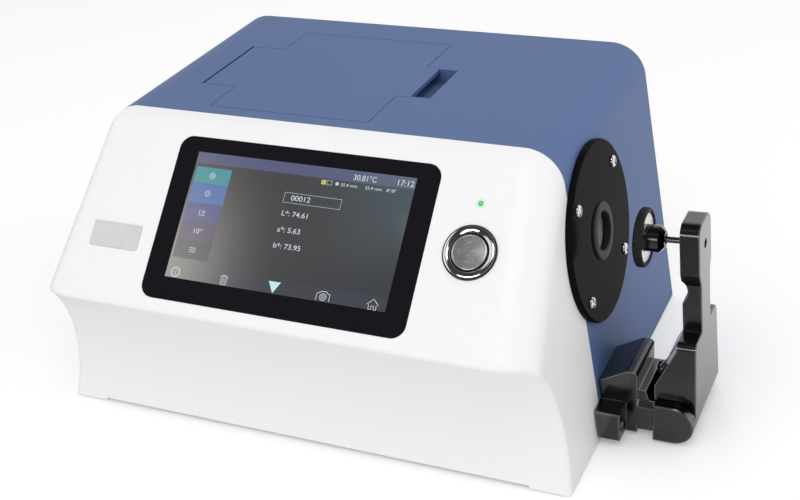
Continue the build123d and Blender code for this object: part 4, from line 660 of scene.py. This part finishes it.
def socket_heads(profile, across, deep, places):
    """Turned screw heads, each with a hex socket of that width across its corners, as one piece."""
    heads = []
    top = profile[-1][1] / 1000
    for place in places:
        head = turned(profile, 48)
        bpy.ops.mesh.primitive_cylinder_add(
            vertices=6, radius=across / 2000, depth=2 * deep / 1000, location=(0.0, 0.0, top)
        )
        trim(head, bpy.context.object)
        head.data.transform(place)
        heads.append(head)
    return joined(heads)


port_screw_back, port_screw_up = 0.0370, 0.0320
socket_turn = 20.0
places = []
for back in (-port_screw_back, port_screw_back):
    for up in (-port_screw_up, port_screw_up):
        places.append(on_port(back, up, port_thick) @ Matrix.Rotation(back * socket_turn, 4, "Z"))
port_heads = socket_heads(head_profile, across=4.6, deep=1.3, places=places)
finish_piece(
    port_heads, "port_screw_heads", Matrix.Identity(4), screw_chrome,
    "housing", "screw_bright", "port_screws",
)

# Sample holder: bracket and arm are milled from aluminium bar and anodised black, with a fine
# bead-blasted skin. The cross pins and the rod are plain steel, and the rod is blackened.
anodised = Finish(
    "black_anodised", (0.085, 0.085, 0.088), 0.36, metallic=1.0, coat_weight=0.5, coat_roughness=0.14
)
blasted = anodised.noise(0.0005, 3.0)
blotches = anodised.noise(0.016, 3.0)
# Painted edge highlights: a bevel node finds the edges, and they are painted lighter into the base
# colour.
rounded = anodised.node("ShaderNodeBevel", {"samples": 6}, {"Radius": 0.0012})
flat_way = anodised.node("ShaderNodeNewGeometry", output="Normal")
inputs = {0: rounded, 1: flat_way}
alike = anodised.node("ShaderNodeVectorMath", {"operation": "DOT_PRODUCT"}, inputs, "Value")
painted_edge_highlight = (1 - alike).ease(0.004, 0.08)
skin = anodised.blend(blotches, (0.064, 0.064, 0.068), (0.094, 0.093, 0.093))
anodised.set("Base Color", anodised.blend(painted_edge_highlight * 0.7, skin, (0.46, 0.46, 0.47)))
anodised.set("Roughness", blasted * 0.10 + 0.15)
anodised.bump(blasted, 0.000012)
anodised.on("holder_bracket", "holder_arm")

black_screw = Finish("blackened_screw", (0.10, 0.10, 0.105), 0.30, metallic=1.0)
black_screw.set("Roughness", black_screw.noise(0.0006, 3.0) * 0.2 + 0.22)
black_screw.on("rod_screw")
pin_steel = Finish("pin_steel", (0.52, 0.52, 0.53), 0.28, metallic=1.0)
pin_steel.set("Roughness", pin_steel.noise(0.0008, 3.0) * 0.2 + 0.2)
pin_steel.on("holder_pin", "anchor_pin", "hook_pin")
rod_black = Finish("blackened_rod", (0.16, 0.16, 0.165), 0.16, metallic=1.0)
rod_black.set("Roughness", rod_black.noise(0.0010, 3.0, (1.0, 8.0, 8.0)) * 0.12 + 0.12)
rod_black.on("plunger_rod")

cap_head_profile = [(3.8, 0.0), (4.0, 0.15), (4.0, 1.35), (3.85, 1.75), (3.45, 2.0), (0.0, 2.0)]
front_foot_screw, back_foot_screw = (0.1698, -0.0480, 0.0150), (0.1628, 0.0300, 0.0150)
outwards = Matrix.Rotation(pi / 2, 4, "Y")
places = [Matrix.Translation(spot) @ outwards for spot in (front_foot_screw, back_foot_screw)]
bracket_heads = socket_heads(cap_head_profile, across=4.0, deep=1.3, places=places)
finish_piece(
    bracket_heads, "bracket_screw_heads", Matrix.Identity(4), black_screw,
    "housing", "screw_black", "holder_screws",
)

# Pad: a black rubber cup moulded with small ribs round its rim, and a bright turned disc in its
# back. It hangs on the ball by a blackened hub with a bevelled nut.
lean = radians(2.4)
pivot = Vector((0.2008, 0.0, 0.0150))
arm_out = Vector((cos(lean), 0.0, sin(lean)))
arm_up = Vector((-sin(lean), 0.0, cos(lean)))
rod_up = 0.1130
cup_front, disc_front, hub_front = -0.0284, -0.0264, -0.0234


def on_arm(up, out):
    """The place of a piece turned round the origin, from the arm's pivot, in metres."""
    turn = Matrix((Vector((0.0, 1.0, 0.0)), arm_up, arm_out)).transposed().to_4x4()
    return Matrix.Translation(pivot + arm_up * up + arm_out * out) @ turn


pad_profile = [
    (17.2, 0.0), (18.3, 0.4), (19.1, 1.2), (19.1, 2.6), (19.1, 4.0), (18.9, 5.3), (18.3, 5.9),
    (17.5, 6.0), (16.5, 5.9), (16.3, 5.4), (16.3, 2.0), (0.0, 2.0),
]
rib_count, rib_depth, rim_start, rib_end = 54, 0.028, 0.0180, 0.0045
pad_cup = turned(pad_profile, rib_count * 4)
for vertex in pad_cup.data.vertices:
    if vertex.co.xy.length > rim_start and vertex.co.z < rib_end:
        turn = vertex.co.xy.angle_signed(Vector((1.0, 0.0)), 0.0)
        vertex.co.xy *= 1.0 - rib_depth * (sin(turn * rib_count) > 0.2)
rubber = Finish("pad_rubber", (0.010, 0.010, 0.010), 0.62, specular_ior_level=0.3)
dust = rubber.noise(0.0012, 4.0)
rubber.set("Base Color", rubber.blend(dust, (0.006, 0.006, 0.006), (0.018, 0.018, 0.018)))
rubber.set("Roughness", dust * 0.2 + 0.5)
rubber.bump(dust, 0.00004)
finish_piece(pad_cup, "pad_cup", on_arm(rod_up, cup_front), rubber, "pad", "pad_rubber", "pad_ring")

disc_profile = [
    (15.6, 0.0), (16.0, 0.3), (16.0, 2.7), (15.75, 2.95), (15.2, 3.0), (15.0, 2.85), (10.0, 2.85),
    (9.8, 3.0), (0.0, 3.0),
]
turned_disc = turned(disc_profile)
bright_metal = Finish("bright_turned_metal", (0.72, 0.72, 0.73), 0.18, metallic=1.0)
back, up = bright_metal.axes(bright_metal.place(tuple(on_arm(rod_up, 0.0).translation)))[1:]
lathe_lines = bright_metal.rings(distance(back, up), 7000)
bright_metal.bump(lathe_lines, 0.00002)
bright_metal.set("Roughness", lathe_lines * 0.1 + 0.14)
disc_place = on_arm(rod_up, disc_front)
finish_piece(turned_disc, "pad_back_disc", disc_place, bright_metal, "pad", "disc_metal", "pad_disc")

hub_length = 12.0
hub_profile = [
    (4.75, 0.0), (8.4, 0.0), (8.7, 0.3), (8.7, 2.2), (8.45, 2.4), (8.45, 2.7), (8.7, 2.9),
    (8.7, hub_length), (3.3, hub_length), (3.3, 11.3), (4.0, 10.45), (4.5, 9.4), (4.75, 7.9),
    (4.75, 0.0),
]
hub = turned(hub_profile, 96)
flats, end_apothem, start_apothem, tool_length, past_end = 8, 4.7, 19.0, 12.4, 0.05
corner = 1 / cos(pi / flats) / 1000
bpy.ops.mesh.primitive_cone_add(
    vertices=flats, radius1=start_apothem * corner, radius2=end_apothem * corner,
    depth=tool_length / 1000,
    location=(0.0, 0.0, (hub_length + past_end - tool_length / 2) / 1000),
)
trim(hub, bpy.context.object, "INTERSECT")
hub_black = Finish(
    "hub_black", (0.07, 0.07, 0.072), 0.20, metallic=1.0, coat_weight=0.4, coat_roughness=0.12
)
hub_black.set("Roughness", hub_black.noise(0.0009, 3.0) * 0.16 + 0.14)
finish_piece(hub, "pad_hub", on_arm(rod_up, hub_front), hub_black, "pad", "hub_black", "plunger_hub")

# Spring: bright drawn wire with a warm cast, coiled and hooked between the two cross pins. It is
# the modelled coil itself, in a copy.
spring_wire = Finish("drawn_wire", (0.52, 0.40, 0.33), 0.22, metallic=1.0)
tarnish = spring_wire.noise(0.0018, 3.0)
spring_wire.set("Base Color", spring_wire.blend(tarnish, (0.40, 0.29, 0.23), (0.66, 0.56, 0.50)))
spring_wire.set("Roughness", tarnish * 0.2 + 0.16)
coil = bpy.data.objects.new("arm_spring", nodes["holder_spring"].data.copy())
bpy.context.collection.objects.link(coil)
edit(coil)
bpy.ops.mesh.remove_doubles(threshold=0.000001)
leave_edit(40.0)
finish_piece(
    coil, "arm_spring", Matrix.Identity(4), spring_wire, None, "spring_steel", "holder_spring"
)
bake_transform(coil)

# Underside and back: a folded steel base with four rubber feet, and a recessed steel panel, both
# powder-coated a light grey with a fine orange-peel skin. The screws are plated.
powder_coat = Finish("grey_powder_coat", (0.42, 0.43, 0.45), 0.52)
peel = powder_coat.noise(0.0011, 2.0)
powder_coat.set("Base Color", powder_coat.blend(peel, (0.38, 0.39, 0.41), (0.45, 0.46, 0.48)))
powder_coat.set("Roughness", peel * 0.16 + 0.44)
powder_coat.bump(peel, 0.00005)
powder_coat.on("base_plate", "rear_panel")

foot_rubber = Finish("foot_rubber", (0.022, 0.022, 0.022), 0.78)
scuffs = foot_rubber.noise(0.0025, 4.0)
scuffed = scuffs.ease(0.4, 0.75)
foot_colour = foot_rubber.blend(scuffed, (0.018, 0.018, 0.018), (0.050, 0.049, 0.047))
foot_rubber.set("Base Color", foot_colour)
foot_rubber.bump(scuffs, 0.00005)
foot_rubber.on("feet")

plated_screw = Finish("plated_screw", (0.60, 0.60, 0.58), 0.30, metallic=1.0)
wear = plated_screw.noise(0.0006, 3.0)
plated_screw.set("Roughness", wear * 0.2 + 0.22)
plated_screw.on("foot_screws", "cover_screws", "serial_posts", "lid_pin")

panel_head_profile = [
    (2.8, 0.0), (3.0, 0.1), (3.0, 0.7), (2.8, 1.3), (2.3, 1.75), (1.6, 1.95), (0.0, 2.0),
]
low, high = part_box("rear_screws")
panel_face = 0.1420
body_mid = -0.0292
head_r = 0.0030
low_row, high_row = low[2] + head_r, high[2] - head_r
backwards = Matrix.Rotation(-pi / 2, 4, "X")
places = []
for side in (-1, 1):
    for height in (low_row, high_row):
        reach = (high[0] - low[0]) / 2 - head_r - (height - low_row) * tan(draft)
        places.append(Matrix.Translation((body_mid + side * reach, panel_face, height)) @ backwards)
rear_heads = socket_heads(panel_head_profile, across=3.4, deep=1.0, places=places)
finish_piece(
    rear_heads, "rear_screw_heads", Matrix.Identity(4), plated_screw,
    "housing", "screw_steel", "rear_screws",
)

# Sockets and switch in the back: a round power jack, a square data socket with a metal shell, a
# plated serial socket, and a rocker in a moulded frame, each clipped or screwed into the panel.
socket_black = Finish("socket_black_plastic", (0.016, 0.016, 0.017), 0.42)
moulding = socket_black.noise(0.0007, 3.0)
socket_black.set("Roughness", moulding * 0.16 + 0.34)
socket_black.bump(moulding, 0.00002)
socket_black.on("dc_inlet", "rocker_frame", "power_rocker")
socket_plating = Finish("nickel_plating", (0.62, 0.61, 0.58), 0.25, metallic=1.0)
socket_plating.set("Roughness", socket_plating.noise(0.0020, 3.0) * 0.2 + 0.17)
socket_plating.on("usb_socket", "serial_socket")

# Marks on the rocker: a bar for on and a ring for off. They are printed in white paint on the
# rocker's hollow face, one on each half.
mark_white = Finish("mark_white", (0.75, 0.75, 0.75), 0.5)
mark_white.set("Roughness", mark_white.noise(0.0005) * 0.2 + 0.4)
axle = Vector((-0.1442, 0.1374, 0.0380))
rocker_tilt = radians(7.0)
rocker_out = Vector((0.0, cos(rocker_tilt), sin(rocker_tilt)))
rocker_up = Vector((0.0, -sin(rocker_tilt), cos(rocker_tilt)))
hollow_r, face_out, mark_up, mark_lift = 0.01696, 0.0036, 0.0042, 0.00003
mark_stroke, mark_flat = 0.0005, 0.16


def on_rocker(side):
    """The place of a mark made flat round the origin, on the upper half, 1, or the lower half, -1."""
    lean_in = side * mark_up / hollow_r
    depth = face_out + hollow_r * (1 - cos(lean_in)) + mark_lift
    face_up = rocker_out * sin(lean_in) + rocker_up * cos(lean_in)
    face_normal = rocker_out * cos(lean_in) - rocker_up * sin(lean_in)
    turn = Matrix((Vector((-1.0, 0.0, 0.0)), face_up, face_normal)).transposed().to_4x4()
    return Matrix.Translation(axle + rocker_out * depth + rocker_up * side * mark_up) @ turn


on_mark = sheet_plate(0.0006, 0.0032, 0.00008)
finish_piece(on_mark, "rocker_mark_on", on_rocker(1), mark_white, "rocker", "cover_white")
off_mark = flatten([ring(0.0, 0.0, 1.4, mark_stroke)], mark_flat)
finish_piece(off_mark, "rocker_mark_off", on_rocker(-1), mark_white, "rocker", "cover_white")

# Compartment under the lid: a black moulded tub with a rubber seal round its mouth and two clear
# windows, all seen when the lid is up.
tub_black = Finish("tub_black_plastic", (0.014, 0.014, 0.015), 0.60)
tub_grain = tub_black.noise(0.0009, 3.0)
tub_black.set("Roughness", tub_grain * 0.16 + 0.52)
tub_black.bump(tub_grain, 0.00004)
tub_black.on("chamber_tub")
seal_rubber = Finish("seal_rubber", (0.020, 0.020, 0.021), 0.80)
seal_rubber.bump(seal_rubber.noise(0.0006, 3.0), 0.00004)
seal_rubber.set("Roughness", seal_rubber.noise(0.0030, 3.0) * 0.2 + 0.68)
seal_rubber.on("chamber_seal")
clear_glass = Finish("clear_glass", (0.92, 0.96, 0.98), 0.03, transmission_weight=1.0, ior=1.46)
clear_glass.set("Roughness", clear_glass.noise(0.0080, 3.0).ease(0.5, 0.9) * 0.08 + 0.02)
clear_glass.on("chamber_windows", "collector_lens")

# Optics: a white-lined integrating sphere in two halves, and its lamp, lens, box and bench of
# bare machined metal, all inside the covers.
sphere_white = Finish("sphere_white", (0.88, 0.88, 0.86), 0.85)
sphere_white.bump(sphere_white.noise(0.0007, 3.0), 0.00003)
lining = sphere_white.noise(0.020)
sphere_white.set("Base Color", sphere_white.blend(lining, (0.84, 0.84, 0.82), (0.90, 0.90, 0.89)))
sphere_white.on("sphere_front", "sphere_rear")
machined = Finish("machined_aluminium", (0.58, 0.58, 0.60), 0.38, metallic=1.0)
tool_marks = machined.noise(0.0008, 3.0, (1.0, 14.0, 1.0))
machined.set("Roughness", tool_marks * 0.2 + 0.28)
machined.bump(tool_marks, 0.00001)
machined.on("sphere_stand", "lamp_module", "lens_tube", "lens_mount")
machined.on("optics_bench", "bench_posts", "board_standoffs")
box_black = Finish("box_black_paint", (0.03, 0.03, 0.03), 0.45)
box_black.set("Roughness", box_black.noise(0.0012, 3.0) * 0.2 + 0.36)
box_black.on("spectrometer_box")

# Electronics: green glass-fibre boards with tracks and black chips, on standoffs, the steel-backed
# panel behind the cover glass, and the plastic nut that holds the push button.
board_green = Finish("board_green", (0.02, 0.16, 0.06), 0.40)
board_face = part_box("main_board")[0][2] + 0.0017
above_board = board_green.axes(board_green.place())[2] > board_face
inputs = {"Vector": board_green.place(), "Scale": 260.0}
tracks = board_green.node("ShaderNodeTexVoronoi", {"feature": "DISTANCE_TO_EDGE"}, inputs)
copper = board_green.blend((tracks < 0.08) * 0.5, (0.018, 0.15, 0.055), (0.05, 0.26, 0.10))
board_green.set("Base Color", board_green.blend(above_board, copper, (0.015, 0.015, 0.016)))
board_green.on("main_board", "power_board")
panel_back = Finish("panel_back_steel", (0.30, 0.30, 0.31), 0.40, metallic=0.8)
panel_back.set("Roughness", panel_back.noise(0.0030, 3.0) * 0.2 + 0.3)
panel_back.on("display_module")
nut_black = Finish("nut_black_plastic", (0.02, 0.02, 0.02), 0.50)
nut_black.bump(nut_black.noise(0.0006, 3.0), 0.00003)
nut_black.on("button_nut")
